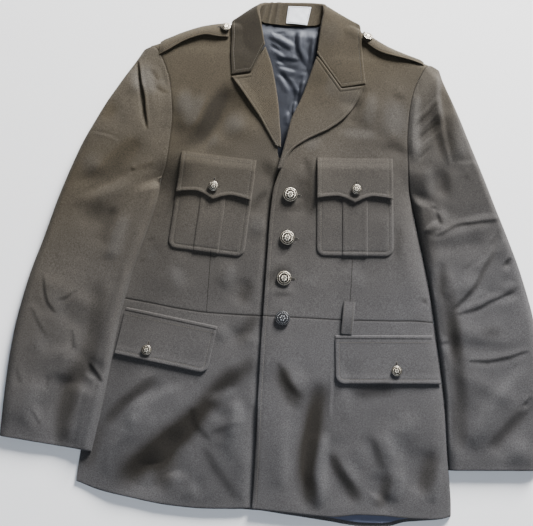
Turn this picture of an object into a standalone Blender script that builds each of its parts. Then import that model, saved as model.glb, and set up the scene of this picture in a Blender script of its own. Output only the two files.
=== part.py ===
"""Military dress tunic, laid flat on its back, front up.

Sizes are in millimetres until a mesh is made. +X is the wearer's left, +Y runs
towards the collar and +Z is up. The floor is z = 0. Every cloth piece is a thin
wall: its outer face is a grid of points, and Solidify gives it its thickness.
"""

import math

import bmesh
import bpy
import numpy as np
from mathutils import Vector

MM = 0.001

# ---------------------------------------------------------------- driving sizes
CENTRE_X, CENTRE_Y = 23.5, 22.5     # middle of the laid-out tunic, put at the origin
CLOTH = 1.8                         # wool with its lining
LEAF = 1.6                          # lapel and collar cloth
SATIN = 0.8                         # back lining
GAP = 0.4                           # air between layers and across seams
BEND_CLEAR = 0.2                    # extra air where flat facets lie over a bend
RIM = CLOTH + GAP + 1.4             # lowest point of a rounded edge's outer face
RIM_FLAT = 2 * CLOTH + GAP          # outer face of a front pressed flat on the back

FRONT_LAP = 59.0                    # how far the right front runs under the left
LAP_LIFT = 2.6                      # how far that raises the left front
LEFT_ROUND = 32.0                   # width of the rounded left side
RIGHT_PRESS = 70.0                  # width over which the pressed right side rises
SHOULDER_ROUND = 15.0               # width of the rounded shoulder line
NECK_HOLLOW = 4.5                   # how far the fronts sink towards the open neck
CROSSING_LIFT = 2.4                 # extra height where the two rolls cross

ROLL_RADIUS = 0.5 * (CLOTH + 2 * GAP + 2 * LEAF)    # outer face of the lapel roll
LAPEL_RETURN = 15.0                 # how far the facing runs back below the roll
LEAF_CLEAR = GAP + LEAF + BEND_CLEAR       # outer face of a leaf above the cloth it lies on
FALL_LIFT = 1.8                     # the collar's extra height over the shoulder line
FOLD_ANGLES = (0, 36, 72, 108, 144, 180)
LEAF_STATIONS = (1.0, 0.84, 0.68, 0.52, 0.36, 0.18, 0.0)
STRAP_THICK = 2.2
STRAP_SKIRT = 1.2                   # how far a strap turns down at the shoulder line
POCKET_WIDTH, POCKET_DEPTH = 118.0, 155.0
POCKET_THICK, POCKET_CORNER = 1.3, 12.0
PLEAT_WIDTH, PLEAT_RISE = 38.0, 1.0
FLAP_THICK = 2.0
SIDE_FLAP_DEPTH, SIDE_FLAP_CORNER = 68.0, 9.0
WELT_DEPTH, WELT_THICK = 6.0, 1.2
LOOP_X, LOOP_Y = 132.0, -53.0
LOOP_WIDTH, LOOP_LENGTH, LOOP_ARCH = 18.0, 50.0, 2.2
LABEL_LEVEL, LABEL_THICK = 7.9, 0.5
LABEL_CORNERS = ((1, 396), (35, 395), (40, 426), (3, 425))
BUTTON_SIDES = 12
FRONT_BUTTON, POCKET_BUTTON = 11.5, 8.0      # radii: 36 line and 25 line buttons
BREAST_STACK = 2 * GAP + BEND_CLEAR + POCKET_THICK + PLEAT_RISE + FLAP_THICK
SIDE_STACK = GAP + FLAP_THICK
STRAP_STACK = GAP + STRAP_THICK + 0.6

# Body seen from above. Columns: level y, right edge x, left edge x, crown height.
# Above the armpit the edges are the armhole seams.
BODY_LEVELS = (
    (-390, -263, 303, 8.0),
    (-350, -263, 302, 8.5),
    (-296, -260, 296, 11.0),
    (-252, -255, 291, 12.5),
    (-207, -249, 287, 13.0),
    (-160, -242, 280, 13.0),
    (-110, -232, 271, 12.0),
    (-76, -225, 265, 11.5),
    (-28, -215, 256, 13.0),
    (17, -204, 245, 14.0),
    (59, -194, 234, 15.0),
    (99, -184, 224, 16.0),
    (125, -174, 217, 17.0),
    (150, -168, 213, 18.0),
    (183, -166, 210, 18.5),
    (216, -165, 208, 19.0),
    (248, -168, 209, 19.0),
    (282, -175, 213, 18.5),
    (310, -186, 222, 18.0),
    (333, -200, 234, 17.0),
    (342, -212, 246, 16.0),
    (400, -230, 262, 13.0),
)

# Shoulder line and back neck. Columns: x, y.
SHOULDER_LINE = (
    (-240, 330), (-212, 341), (-190, 350), (-158, 366), (-127, 378), (-99, 384),
    (-78, 386), (-55, 389), (-36, 391), (9, 390), (53, 392), (75, 396),
    (100, 398), (124, 390), (149, 375), (174, 362), (207, 350), (232, 342),
    (246, 337), (270, 329),
)

# Waist seam and hems. Columns: x, y of the seam, y of the front hem, y of the back hem.
LOWER_SEAMS = (
    (-265, -66, -351, -351),
    (-225, -70, -362, -363),
    (-175, -76, -370, -371),
    (-128, -82, -376, -377),
    (-81, -85, -378, -379),
    (-35, -85, -376, -377),
    (0, -84, -373, -375),
    (60, -83, -375, -379),
    (121, -82, -377, -384),
    (167, -80, -371, -388),
    (205, -78, -370, -386),
    (235, -76, -371, -377),
    (285, -76, -369, -370),
    (305, -76, -363, -364),
)

# Inner edges of the fronts: closing edge, then the roll of the lapel, then the
# neckline. Columns: y, x.
RIGHT_INNER = (
    (-400, FRONT_LAP), (-200, FRONT_LAP), (-84, FRONT_LAP), (60, FRONT_LAP), (105, 56),
    (135, 42), (155, 24), (170, 6), (182, 5), (196, 4), (220, 1), (248, -2), (280, -9),
    (318, -21), (345, -38), (370, -46), (394, -56),
)
LEFT_INNER = (
    (-400, 5), (-371, 4), (-280, 3), (-200, 1), (-84, 0), (60, 0), (110, 2),
    (136, 8), (160, 15), (183, 19), (222, 26), (243, 33), (270, 45), (304, 54),
    (341, 69), (372, 73), (398, 79),
)

# Soft folds in the fronts and skirts. Columns: x and y of one end, x and y of the
# other, half width, height (a trough is negative).
BODY_FOLDS = (
    (-92, 262, -142, 182, 16, 2.4),
    (-60, 250, -112, 176, 14, -2.2),
    (-190, 40, -120, -20, 18, 1.8),
    (-60, -190, -175, -290, 20, 2.6),
    (-30, -225, -150, -330, 18, -2.4),
    (-10, -300, -70, -365, 16, 2.0),
    (86, -200, 72, -350, 18, -2.6),
    (120, -215, 112, -360, 18, 2.2),
    (190, -230, 205, -350, 20, 2.0),
    (150, 245, 185, 300, 20, 2.0),
    (215, -250, 262, -330, 16, -1.8),
    (200, 60, 228, -20, 16, 1.6),
)

# Sleeves. Columns: inner x, inner y, outer x, outer y, crown height. The first
# rows run down the armhole seam from the shoulder tip to the armpit.
RIGHT_SLEEVE = (
    (-210, 337, -223, 331, 9), (-201, 331, -238, 302, 17), (-186, 307, -258, 266, 24),
    (-176, 280, -276, 233, 27), (-170, 248, -292, 199, 27), (-167, 216, -306, 168, 25),
    (-168, 176, -322, 122, 22), (-172, 140, -336, 75, 20), (-179, 84, -351, 15, 18),
    (-195, 18, -365, -37, 17), (-211, -50, -375, -88, 17), (-222, -115, -382, -140, 16),
    (-227, -170, -385, -190, 15), (-232, -220, -386, -240, 14), (-244, -306, -386, -293, 10),
)
LEFT_SLEEVE = (
    (246, 337, 257, 330, 9), (236, 334, 267, 300, 19), (223, 311, 281, 270, 26),
    (214, 282, 294, 243, 28), (210, 248, 306, 217, 27), (209, 216, 320, 187, 25),
    (211, 183, 338, 147, 22), (216, 148, 354, 110, 19), (227, 99, 374, 65, 17),
    (248, 17, 398, 5, 16), (268, -76, 422, -80, 16), (284, -160, 431, -160, 15),
    (292, -225, 433, -228, 13), (297, -297, 431, -288, 10),
)

# Soft folds in the sleeves, columns as for the body.
RIGHT_SLEEVE_FOLDS = (
    (-226, 296, -205, 205, 12, -5.0),
    (-300, 70, -222, 105, 14, 3.0),
    (-310, 100, -230, 130, 12, -2.5),
    (-352, -50, -250, -95, 14, 3.2),
    (-360, -85, -262, -125, 12, -2.8),
    (-255, -150, -345, -175, 13, 2.8),
    (-262, -180, -335, -262, 14, -3.4),
    (-240, -200, -290, -288, 12, 2.4),
)
LEFT_SLEEVE_FOLDS = (
    (256, 318, 262, 220, 10, 4.0),
    (222, 205, 262, 245, 12, -3.6),
    (245, 60, 345, 78, 13, 3.4),
    (250, 35, 330, 52, 12, -2.8),
    (362, 60, 300, -50, 15, 3.2),
    (290, -80, 400, -110, 14, 3.0),
    (292, -115, 405, -105, 12, -3.0),
    (300, -150, 395, -190, 13, 2.6),
    (318, -190, 322, -280, 14, -3.2),
)

# Lapels. Columns: roll x, roll y, outer edge x, outer edge y.
RIGHT_LAPEL = (
    (10, 182, 1, 185), (9, 200, -15, 210), (6, 220, -27, 229), (2, 250, -43, 250),
    (-5, 285, -58, 270), (-14, 320, -69, 284), (-26, 350, -77, 294),
)
LEFT_LAPEL = (
    (6, 145, 13, 147), (12, 172, 27, 177), (17, 198, 50, 197), (23, 230, 84, 217),
    (36, 264, 110, 240), (47, 302, 126, 266), (57, 340, 137, 293),
)
RIGHT_GORGE = (0.36, 27.0)          # where along the top edge it bends, and how deep
LEFT_GORGE = (0.52, 29.0)

# Collar sections from the right gorge round the neck to the left gorge. Columns:
# fold x, y, z; stand seam x, y, z; turn of the fall x, y, z; outer edge x, y, z;
# radius of the fold.
COLLAR = (
    (-27.6, 353.5, 13.5, -37, 349.5, 9.5, -53.5, 324, 15.0, -77, 297, 12.0, 2.9),
    (-32, 374, 14.0, -41, 370, 9.5, -57, 353, 15.0, -81, 334, 12.0, 3.0),
    (-37, 397, 14.5, -46, 389, 9.5, -60, 378, 15.0, -82, 362, 10.0, 3.2),
    (-40, 412, 14.5, -49, 398, 9.0, -64, 400, 13.0, -84, 388, 9.0, 3.8),
    (-37, 423, 10.5, -43, 398, 8.0, -54, 414, 5.0, -70, 398, 1.0, 3.8),
    (-25, 429, 4.4, -29, 392, 7.4, -33, 412, 0.0, -42, 388, 0.0, 3.7),
    (9, 431, 3.7, 9, 390, 7.4, 9, 412, 0.0, 9, 384, 0.0, 3.7),
    (48, 433, 4.4, 51, 393, 7.4, 55, 415, 0.0, 62, 390, 0.0, 3.7),
    (63, 429, 10.5, 69, 402, 8.0, 80, 421, 5.0, 100, 407, 1.0, 3.8),
    (63, 414, 14.5, 74, 402, 9.0, 93, 408, 13.0, 125, 397, 9.0, 3.8),
    (61, 397, 14.5, 72, 390, 9.5, 95, 384, 15.0, 128, 368, 10.0, 3.2),
    (59, 371, 14.0, 69, 368, 9.5, 97, 348, 15.0, 132, 333, 12.0, 3.0),
    (57, 342.5, 13.5, 66, 339, 9.5, 98, 317, 15.0, 138, 295.5, 12.0, 2.9),
)

# Pockets and flaps. Columns: side, top centre x, top centre y, turn in degrees.
BREAST_POCKETS = (("right", -86, 163, -3.6), ("left", 127, 173, 3.4))
# Columns: side, inner top x and y, outer top x and y.
SIDE_FLAPS = (("right", -69, -111, -213, -90.5), ("left", 113, -112, 263, -102))

# Lower edge of a breast flap. Columns: distance from its middle, depth.
BREAST_FLAP_EDGE = ((0, 72), (8, 70.5), (22, 65), (38, 61), (52, 64.5), (59.5, 66))
# Straps. Columns: x, how far the strap's inner edge lies inside the shoulder line.
RIGHT_STRAP = ((-87, 25), (-102, 24), (-127, 18), (-152, 19), (-178, 24), (-195, 26))
LEFT_STRAP = ((130, 17), (153, 19), (178, 15), (205, 11), (229, 9))
# Button outline from the shank's foot to the crown. Columns: share of the radius, z.
BUTTON_PROFILE = (
    (0.22, 0.0), (0.22, 1.5), (0.92, 2.0), (1.0, 2.7), (0.93, 3.4), (0.62, 4.5), (0.25, 5.1),
)

# Buttons. Columns: name, x, y, radius, side of the body, layers under the button.
BUTTONS = (
    ("front_button_1", 29.5, 107, FRONT_BUTTON, "left", 0.0),
    ("front_button_2", 29.5, 39, FRONT_BUTTON, "left", 0.0),
    ("front_button_3", 29.0, -24, FRONT_BUTTON, "left", 0.0),
    ("front_button_4", 30.5, -86, FRONT_BUTTON, "left", 0.0),
    ("right_breast_button", -91, 112, POCKET_BUTTON, "right", BREAST_STACK),
    ("left_breast_button", 132, 122, POCKET_BUTTON, "left", BREAST_STACK),
    ("right_side_button", -173, -149, POCKET_BUTTON, "right", SIDE_STACK),
    ("left_side_button", 209, -154, POCKET_BUTTON, "left", SIDE_STACK),
    ("right_strap_button", -92, 376, POCKET_BUTTON, "right", STRAP_STACK),
    ("left_strap_button", 137, 376, POCKET_BUTTON, "left", STRAP_STACK),
)
SLOPE_STEP = 4.0                    # distance over which a button reads the cloth's slope


# ---------------------------------------------------------------- small helpers
def smooth(t):
    """Soft step from 0 to 1 while t runs from 0 to 1."""
    t = np.clip(t, 0.0, 1.0)
    return t * t * (3.0 - 2.0 * t)


def round_edge(distance, width):
    """Quarter of an ellipse: upright at the edge, level after the given width."""
    return np.sqrt(1.0 - (1.0 - np.clip(distance / width, 0.0, 1.0)) ** 2)


def read_rows(table, stations):
    """Rows of a table read smoothly at stations, 0 the first row and 1 the last.

    Stations follow the length along the first two columns. Each stretch is a cubic,
    and its slope at a row is the harmonic mean of the slopes on both sides, or level
    where they turn round, so that no value runs past its rows.
    """
    table = np.array(table, dtype=float)
    steps = np.linalg.norm(np.diff(table[:, :2], axis=0), axis=1)
    knots = np.concatenate(([0.0], np.cumsum(steps))) / steps.sum()
    rates = np.diff(table, axis=0) / np.diff(knots)[:, None]
    turns = rates[:-1] * rates[1:] <= 0.0
    sums = np.where(turns, 1.0, rates[:-1] + rates[1:])
    slopes = np.concatenate(
        (rates[:1], np.where(turns, 0.0, 2.0 * rates[:-1] * rates[1:] / sums), rates[-1:])
    )
    stations = np.asarray(stations, dtype=float)
    row = np.clip(np.searchsorted(knots, stations, side="right") - 1, 0, len(knots) - 2)
    span = (knots[row + 1] - knots[row])[:, None]
    t = ((stations - knots[row])[:, None]) / span
    start, end = table[row], table[row + 1]
    return (
        (2 * t**3 - 3 * t**2 + 1) * start
        + (t**3 - 2 * t**2 + t) * span * slopes[row]
        + (3 * t**2 - 2 * t**3) * end
        + (t**3 - t**2) * span * slopes[row + 1]
    )


FINE = np.linspace(0.0, 1.0, 400)
BODY_CURVE = read_rows(BODY_LEVELS, FINE)
SHOULDER_CURVE = read_rows(SHOULDER_LINE, FINE)
LOWER_CURVE = read_rows(LOWER_SEAMS, FINE)
RIGHT_INNER_CURVE = read_rows(RIGHT_INNER, FINE)
LEFT_INNER_CURVE = read_rows(LEFT_INNER, FINE)


def right_edge(y):
    return np.interp(y, BODY_CURVE[:, 0], BODY_CURVE[:, 1])


def left_edge(y):
    return np.interp(y, BODY_CURVE[:, 0], BODY_CURVE[:, 2])


def shoulder_y(x):
    return np.interp(x, SHOULDER_CURVE[:, 0], SHOULDER_CURVE[:, 1])


def seam_y(x, column):
    """Column 1 is the waist seam, 2 the front hem and 3 the back hem."""
    return np.interp(x, LOWER_CURVE[:, 0], LOWER_CURVE[:, column])


def folds(x, y, table):
    """Sum of soft ridges: a bell across each fold, fading towards its two ends."""
    height = np.zeros(np.shape(x))
    for start_x, start_y, end_x, end_y, width, rise in table:
        run_x, run_y = end_x - start_x, end_y - start_y
        length = math.hypot(run_x, run_y)
        along = ((x - start_x) * run_x + (y - start_y) * run_y) / length**2
        across = ((x - start_x) * run_y - (y - start_y) * run_x) / length
        ends = smooth((along + 0.15) / 0.4) * smooth((1.15 - along) / 0.4)
        height = height + rise * np.exp(-((across / width) ** 2)) * ends
    return height


def back_rise(x, y, reach=0.0):
    """The back lifts off the floor where the fall of the collar runs below it. What
    lies on the back lifts a little sooner, by its reach."""
    across = smooth((x + 85.0 + reach) / 25.0) * smooth((125.0 + reach - x) / 25.0)
    return (LEAF + GAP + 0.3) * smooth((y - 325.0 + reach) / 45.0) * across


def body_top(x, y):
    """Height of the outer face of the fronts: a crown that rolls down to the back
    along both sides and the shoulder line, and stays open at the armholes."""
    crown = np.interp(y, BODY_CURVE[:, 0], BODY_CURVE[:, 3])
    neck = np.exp(-(((x - 15.0) / 95.0) ** 2)) * smooth((y - 150.0) / 150.0)
    crown = crown - NECK_HOLLOW * neck + folds(x, y, BODY_FOLDS)
    armhole = smooth((y - 95.0) / 70.0)
    left = round_edge(left_edge(y) - x, LEFT_ROUND)
    right = smooth((x - right_edge(y)) / RIGHT_PRESS)
    left = left + (1.0 - left) * armhole
    right = right + (1.0 - right) * armhole
    top = round_edge(0.9 * (shoulder_y(x) - y), SHOULDER_ROUND)
    rim = RIM + back_rise(x, y, 14.0)
    pressed = (RIM_FLAT - RIM) / (crown - RIM)
    right = pressed + (1.0 - pressed) * right
    return rim + (crown - rim) * left * right * top


def left_top(x, y):
    """The left front lies on the right one, so it is raised along their overlap."""
    lap = smooth((118.0 - x) / 55.0) * smooth((255.0 - y) / 115.0)
    crossing = np.exp(-(((x - 18.0) / 60.0) ** 2) - ((y - 160.0) / 70.0) ** 2)
    return body_top(x, y) + LAP_LIFT * lap + CROSSING_LIFT * crossing


def side_top(side):
    return left_top if side == "left" else body_top


# ---------------------------------------------------------------- mesh helpers
def material(name, color, roughness, metallic=0.0):
    made = bpy.data.materials.get(name) or bpy.data.materials.new(name)
    made.use_nodes = True
    shader = made.node_tree.nodes["Principled BSDF"]
    shader.inputs["Base Color"].default_value = (*color, 1.0)
    shader.inputs["Roughness"].default_value = roughness
    shader.inputs["Metallic"].default_value = metallic
    return made


def to_metres(points):
    shifted = np.asarray(points, dtype=float) - (CENTRE_X, CENTRE_Y, 0.0)
    return shifted * MM


def add_object(name, mesh, finish):
    mesh.materials.append(finish)
    made = bpy.data.objects.new(name, mesh)
    bpy.context.scene.collection.objects.link(made)
    return made


def grid_faces(rows, columns):
    """Quads of a grid of points stored row by row."""
    first = np.arange(rows * columns).reshape(rows, columns)
    quads = np.stack((first[:-1, :-1], first[:-1, 1:], first[1:, 1:], first[1:, :-1]), axis=-1)
    return quads.reshape(-1, 4)


def sheet(name, points, thickness, finish, grow=-1.0, upper=None):
    """A wall of even thickness on a grid of points (rows, columns, 3).

    The grid faces up, judged at the cell named by upper or else at the middle. It is
    the outer face when grow is -1, and the inner face, with the wall standing on it,
    when grow is +1.
    """
    points = np.asarray(points, dtype=float)
    rows, columns = points.shape[:2]
    row, column = upper or (rows // 2, columns // 2)
    across = points[row, column + 1] - points[row, column]
    along = points[row + 1, column] - points[row, column]
    faces = grid_faces(rows, columns)
    if np.cross(across, along)[2] < 0.0:
        faces = faces[:, ::-1]
    mesh = bpy.data.meshes.new(name)
    mesh.from_pydata(to_metres(points.reshape(-1, 3)).tolist(), [], faces.tolist())
    made = add_object(name, mesh, finish)
    wall = made.modifiers.new("Wall", "SOLIDIFY")
    wall.thickness = thickness * MM
    wall.offset = grow
    return made


def coons(inner, outer, bottom, top):
    """Plan grid filling four edge curves: inner and outer have one point a row,
    bottom and top one point a column."""
    rows, columns = len(inner), len(bottom)
    v = np.linspace(0.0, 1.0, rows)[:, None, None]
    u = (np.linalg.norm(bottom - bottom[0], axis=1) / np.linalg.norm(bottom[-1] - bottom[0]))
    u = u[None, :, None]
    blend = (1 - u) * inner[:, None] + u * outer[:, None] + (1 - v) * bottom[None] + v * top[None]
    corners = (
        (1 - u) * (1 - v) * bottom[0] + u * (1 - v) * bottom[-1]
        + (1 - u) * v * top[0] + u * v * top[-1]
    )
    return blend - corners


def packed_end(count):
    """Fractions from 0 to 1, packed towards the end, where the cloth rolls over."""
    t = np.linspace(0.0, 1.0, count)
    return 0.3 * t + 0.7 * np.sin(t * math.pi / 2.0)


def packed_both(count):
    """Fractions from 0 to 1, packed towards both ends."""
    t = np.linspace(0.0, 1.0, count)
    return 0.35 * t + 0.65 * (0.5 - 0.5 * np.cos(t * math.pi))


def with_height(plan, height):
    return np.concatenate((plan, height[..., None]), axis=-1)


# ---------------------------------------------------------------- body pieces
def front_plan(side, low, high, rows, columns):
    """Plan of a front between two levels: 'waist' to 'shoulder' or 'hem' to 'waist'."""
    inner_curve = LEFT_INNER_CURVE if side == "left" else RIGHT_INNER_CURVE
    edge = left_edge if side == "left" else right_edge

    def inner_x(y):
        return np.interp(y, inner_curve[:, 0], inner_curve[:, 1])

    def level(x, name):
        if name == "shoulder":
            return shoulder_y(x)
        if name == "waist":
            return seam_y(x, 1) + (0.5 * GAP if low == "waist" else -0.5 * GAP)
        return seam_y(x, 2)

    def corner(side_x, name):
        y = 0.0
        for _ in range(12):
            y = float(level(side_x(y), name))
        return np.array((float(side_x(y)), y))

    inner_ends = [corner(inner_x, name) for name in (low, high)]
    if high == "shoulder":
        outer_tip = BODY_LEVELS[-2][2 if side == "left" else 1]
        tip = np.array((outer_tip, shoulder_y(outer_tip)))
    else:
        tip = corner(edge, high)
    outer_ends = [corner(edge, low), tip]
    spread = packed_end(columns)
    inner_y = np.linspace(inner_ends[0][1], inner_ends[1][1], rows)
    outer_y = np.linspace(outer_ends[0][1], outer_ends[1][1], rows)
    if high == "shoulder":
        packed = packed_end(rows)
        inner_y = inner_ends[0][1] + (inner_ends[1][1] - inner_ends[0][1]) * packed
        outer_y = outer_ends[0][1] + (outer_ends[1][1] - outer_ends[0][1]) * packed
    inner = np.stack((inner_x(inner_y), inner_y), axis=1)
    outer = np.stack((edge(outer_y), outer_y), axis=1)
    ends = []
    for name, start, end in ((low, inner_ends[0], outer_ends[0]), (high, inner_ends[1], tip)):
        x = start[0] + (end[0] - start[0]) * spread
        ends.append(np.stack((x, level(x, name)), axis=1))
    inner[0], inner[-1], outer[0], outer[-1] = ends[0][0], ends[1][0], ends[0][-1], ends[1][-1]
    return coons(inner, outer, ends[0], ends[1])


def make_fronts(wool):
    for side in ("right", "left"):
        top = side_top(side)
        for name, low, high, rows in (
            ("front", "waist", "shoulder", 24),
            ("skirt", "hem", "waist", 13),
        ):
            plan = front_plan(side, low, high, rows, 14)
            points = with_height(plan, top(plan[..., 0], plan[..., 1]))
            sheet(f"{side}_{name}", points, CLOTH, wool)


def back_plan(rows, columns, inset, hem_inset, neck_inset):
    """Plan of the whole back between its edges, each moved in by its inset."""
    v = packed_end(rows)[:, None]
    u = np.linspace(0.0, 1.0, columns)[None, :]
    y = np.zeros((rows, columns))
    for _ in range(12):
        right, left = right_edge(y) + inset, left_edge(y) - inset
        x = right + (left - right) * u
        low = seam_y(x, 3) + hem_inset
        beside_neck = smooth((np.abs(x - 15.0) - 50.0) / 25.0)
        high = shoulder_y(x) - neck_inset - 2.0 * hem_inset * beside_neck
        y = low + (high - low) * v
    return np.stack((x, y), axis=-1)


def make_back(wool, satin):
    plan = back_plan(19, 14, 0.0, 0.0, 0.0)
    rise = back_rise(plan[..., 0], plan[..., 1])
    sheet("back", with_height(plan, rise), CLOTH, wool, grow=1.0)
    plan = back_plan(15, 9, 30.0, 6.0, 0.5)
    rise = back_rise(plan[..., 0], plan[..., 1], 12.0) + CLOTH + GAP
    sheet("lining", with_height(plan, rise), SATIN, satin, grow=1.0)


# ---------------------------------------------------------------- lapels and collar
def gorge_dip(u, gorge):
    """The bent seam between lapel and collar: how far it dips below a straight line."""
    bend, depth = gorge
    return depth * np.minimum(u / bend, (1.0 - u) / (1.0 - bend))


def fold_arc(centre, inward, upward, radius):
    """Half circle from above the centre, round its outer side, to below it."""
    angles = np.radians(FOLD_ANGLES)[:, None]
    return centre + radius * (np.cos(angles) * upward - np.sin(angles) * inward)


def make_lapel(side, table, gorge, wool):
    """Leaf from its outer edge to the roll, round the roll and back below the front."""
    top = side_top(side)
    rows = 12
    sections = read_rows(table, np.linspace(0.0, 1.0, rows))
    roll, edge = sections[:, :2], sections[:, 2:4]
    dip_share = smooth((np.linspace(0.0, 1.0, rows) - 0.3) / 0.7)
    width = np.linalg.norm(edge - roll, axis=1)
    outward = (edge - roll) / width[:, None]
    grid = []
    for u in LEAF_STATIONS:
        plan = roll + outward * (ROLL_RADIUS + (width - ROLL_RADIUS) * u)[:, None]
        plan[:, 1] -= gorge_dip(u, gorge) * dip_share
        height = top(plan[:, 0], plan[:, 1]) + LEAF_CLEAR
        grid.append(with_height(plan, height))
    centre = grid[-1] - (0.0, 0.0, ROLL_RADIUS)
    inward = with_height(outward, np.zeros(rows))
    for angle in np.radians(FOLD_ANGLES[1:]):
        lift = with_height(np.zeros((rows, 2)), np.full(rows, math.cos(angle)))
        grid.append(centre + ROLL_RADIUS * (lift - math.sin(angle) * inward))
    foot = grid[-1]
    for reach in (0.5, 1.0):
        run = reach * np.minimum(LAPEL_RETURN, 0.6 * width)
        points = foot + inward * run[:, None]
        below = top(points[:, 0], points[:, 1]) - CLOTH - LEAF_CLEAR
        points[:, 2] = np.minimum(points[:, 2], below)
        grid.append(points)
    sheet(f"{side}_lapel", np.stack(grid, axis=1), LEAF, wool, upper=(rows // 2, 1))


def collar_section(row, dip):
    """One section of the collar: outer edge, fall, round fold, stand, neck seam.

    The row holds the fold, seam, turn and edge points and the fold's radius."""
    fold, seam, turn, edge = (row[3 * k:3 * k + 3] for k in range(4))
    radius = row[12]
    inward = 0.5 * (seam + turn) - fold
    inward /= np.linalg.norm(inward)
    upward = turn - seam
    upward -= inward * upward.dot(inward)
    upward /= np.linalg.norm(upward)
    centre = fold + inward * radius
    start = centre + upward * radius
    fall = []
    for u in LEAF_STATIONS[:-1]:
        bow = turn - 0.5 * (start + edge)
        point = start + (edge - start) * u + bow * 4.0 * u * (1.0 - u)
        fall.append(point - (0.0, gorge_dip(u, dip), 0.0))
    arc = fold_arc(centre, inward, upward, radius)
    stand = [arc[-1] + (seam - arc[-1]) * part for part in (0.5, 1.0)]
    return np.array([*fall, *arc, *stand])


def make_collar(wool):
    """Band swept round the neck. Its fall stays on top of the fronts at both ends."""
    rows = 33
    v = np.linspace(0.0, 1.0, rows)
    sections = read_rows(COLLAR, v)
    grid = []
    for station, row in zip(v, sections):
        bend, depth = RIGHT_GORGE if station < 0.5 else LEFT_GORGE
        near_end = smooth(1.0 - min(station, 1.0 - station) / 0.09)
        grid.append(collar_section(row, (bend, depth * near_end)))
    grid = np.array(grid)
    x, y, z = grid[..., 0], grid[..., 1], grid[..., 2]
    surface = np.where(x > CENTRE_X, left_top(x, y), body_top(x, y)) + LEAF_CLEAR
    inside = shoulder_y(x) - y
    surface += FALL_LIFT * smooth(1.0 - inside / 26.0)
    falls = np.arange(grid.shape[1]) < len(LEAF_STATIONS)
    on_front = falls & (inside > 0.5) & (sections[:, 11:12] > 3.0)
    grid[..., 2] = np.maximum(np.where(on_front, np.maximum(z, surface), z), 0.0)
    sheet("collar", grid, LEAF, wool, upper=(1, 1))


# ---------------------------------------------------------------- sleeves
def body_lift(x, y):
    """How high the right sleeve is carried where it lies on the side of the body."""
    inside = x - right_edge(y)
    on_body = body_top(x, y) + 2 * GAP + BEND_CLEAR
    beside = (RIM_FLAT + 2 * GAP + BEND_CLEAR) * smooth((inside + 15.0) / 13.0)
    return np.where(inside > -2.0, on_body, beside) * smooth((62.0 - y) / 50.0)


def sleeve_sections(side, rows):
    """Inner and outer ends and crown of each section, the first rows on the armhole."""
    table = RIGHT_SLEEVE if side == "right" else LEFT_SLEEVE
    sections = read_rows(table, np.linspace(0.0, 1.0, rows))
    inner_y = sections[:, 1]
    armhole = smooth((inner_y - 105.0) / 22.0)
    clear = 1.2 + 0.9 * smooth((inner_y - 300.0) / 25.0)
    seam = right_edge(inner_y) - clear if side == "right" else left_edge(inner_y) + clear
    sections[:, 0] += (seam - sections[:, 0]) * armhole
    return sections, armhole


def make_top_sleeve(side, wool):
    rows, columns = 25, 12
    sections, armhole = sleeve_sections(side, rows)
    inner, outer, crown = sections[:, None, :2], sections[:, None, 2:4], sections[:, 4:5]
    u = packed_both(columns)[None, :]
    plan = inner + (outer - inner) * u[..., None]
    x, y = plan[..., 0], plan[..., 1]
    width = np.linalg.norm(outer - inner, axis=2)
    far = round_edge((1.0 - u) * width, 16.0)
    near = round_edge(u * width, 14.0)
    lift = body_lift(x, y) if side == "right" else np.zeros_like(x)
    if side == "right":
        seam_height = body_top(right_edge(y[:, :1]) + 1.0, y[:, :1])
        table = RIGHT_SLEEVE_FOLDS
    else:
        seam_height = left_top(left_edge(y[:, :1]) - 1.0, y[:, :1])
        table = LEFT_SLEEVE_FOLDS
    tube = RIM + 1.05 * lift + (crown - RIM - 0.7 * lift) * near * far
    swell = smooth(u * width / 48.0)
    cap = seam_height + 0.4 + (crown - seam_height) * swell
    cap = RIM + (cap - RIM) * far
    weight = armhole[:, None]
    height = tube + (cap - tube) * weight
    height += folds(x, y, table) * far * smooth(u * width / 20.0)
    if side == "right":
        over = body_top(x, y) + CLOTH + 2 * GAP + 3 * BEND_CLEAR
        covers = (x > right_edge(y) - 7.0) & (weight < 0.98)
        height = np.where(covers, np.maximum(height, over), height)
    sheet(f"{side}_top_sleeve", with_height(plan, height), CLOTH, wool)


def make_under_sleeve(side, wool):
    rows, columns = 17, 8
    sections, _ = sleeve_sections(side, rows)
    if side == "right":
        beside = right_edge(sections[:, 1]) - 1.5
        share = smooth((-5.0 - sections[:, 1]) / 40.0)
        clear = np.minimum(sections[:, 0], beside)
        sections[:, 0] = clear + (sections[:, 0] - clear) * share
    inner, outer = sections[:, None, :2], sections[:, None, 2:4]
    u = np.array((0.0, 0.07, 0.15, 0.25, 0.4, 0.6, 0.8, 1.0))[None, :, None]
    plan = inner + (outer - inner) * u
    x, y = plan[..., 0], plan[..., 1]
    lift = body_lift(x, y) if side == "right" else np.zeros_like(x)
    sheet(f"{side}_under_sleeve", with_height(plan, lift), CLOTH, wool, grow=1.0)


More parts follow.
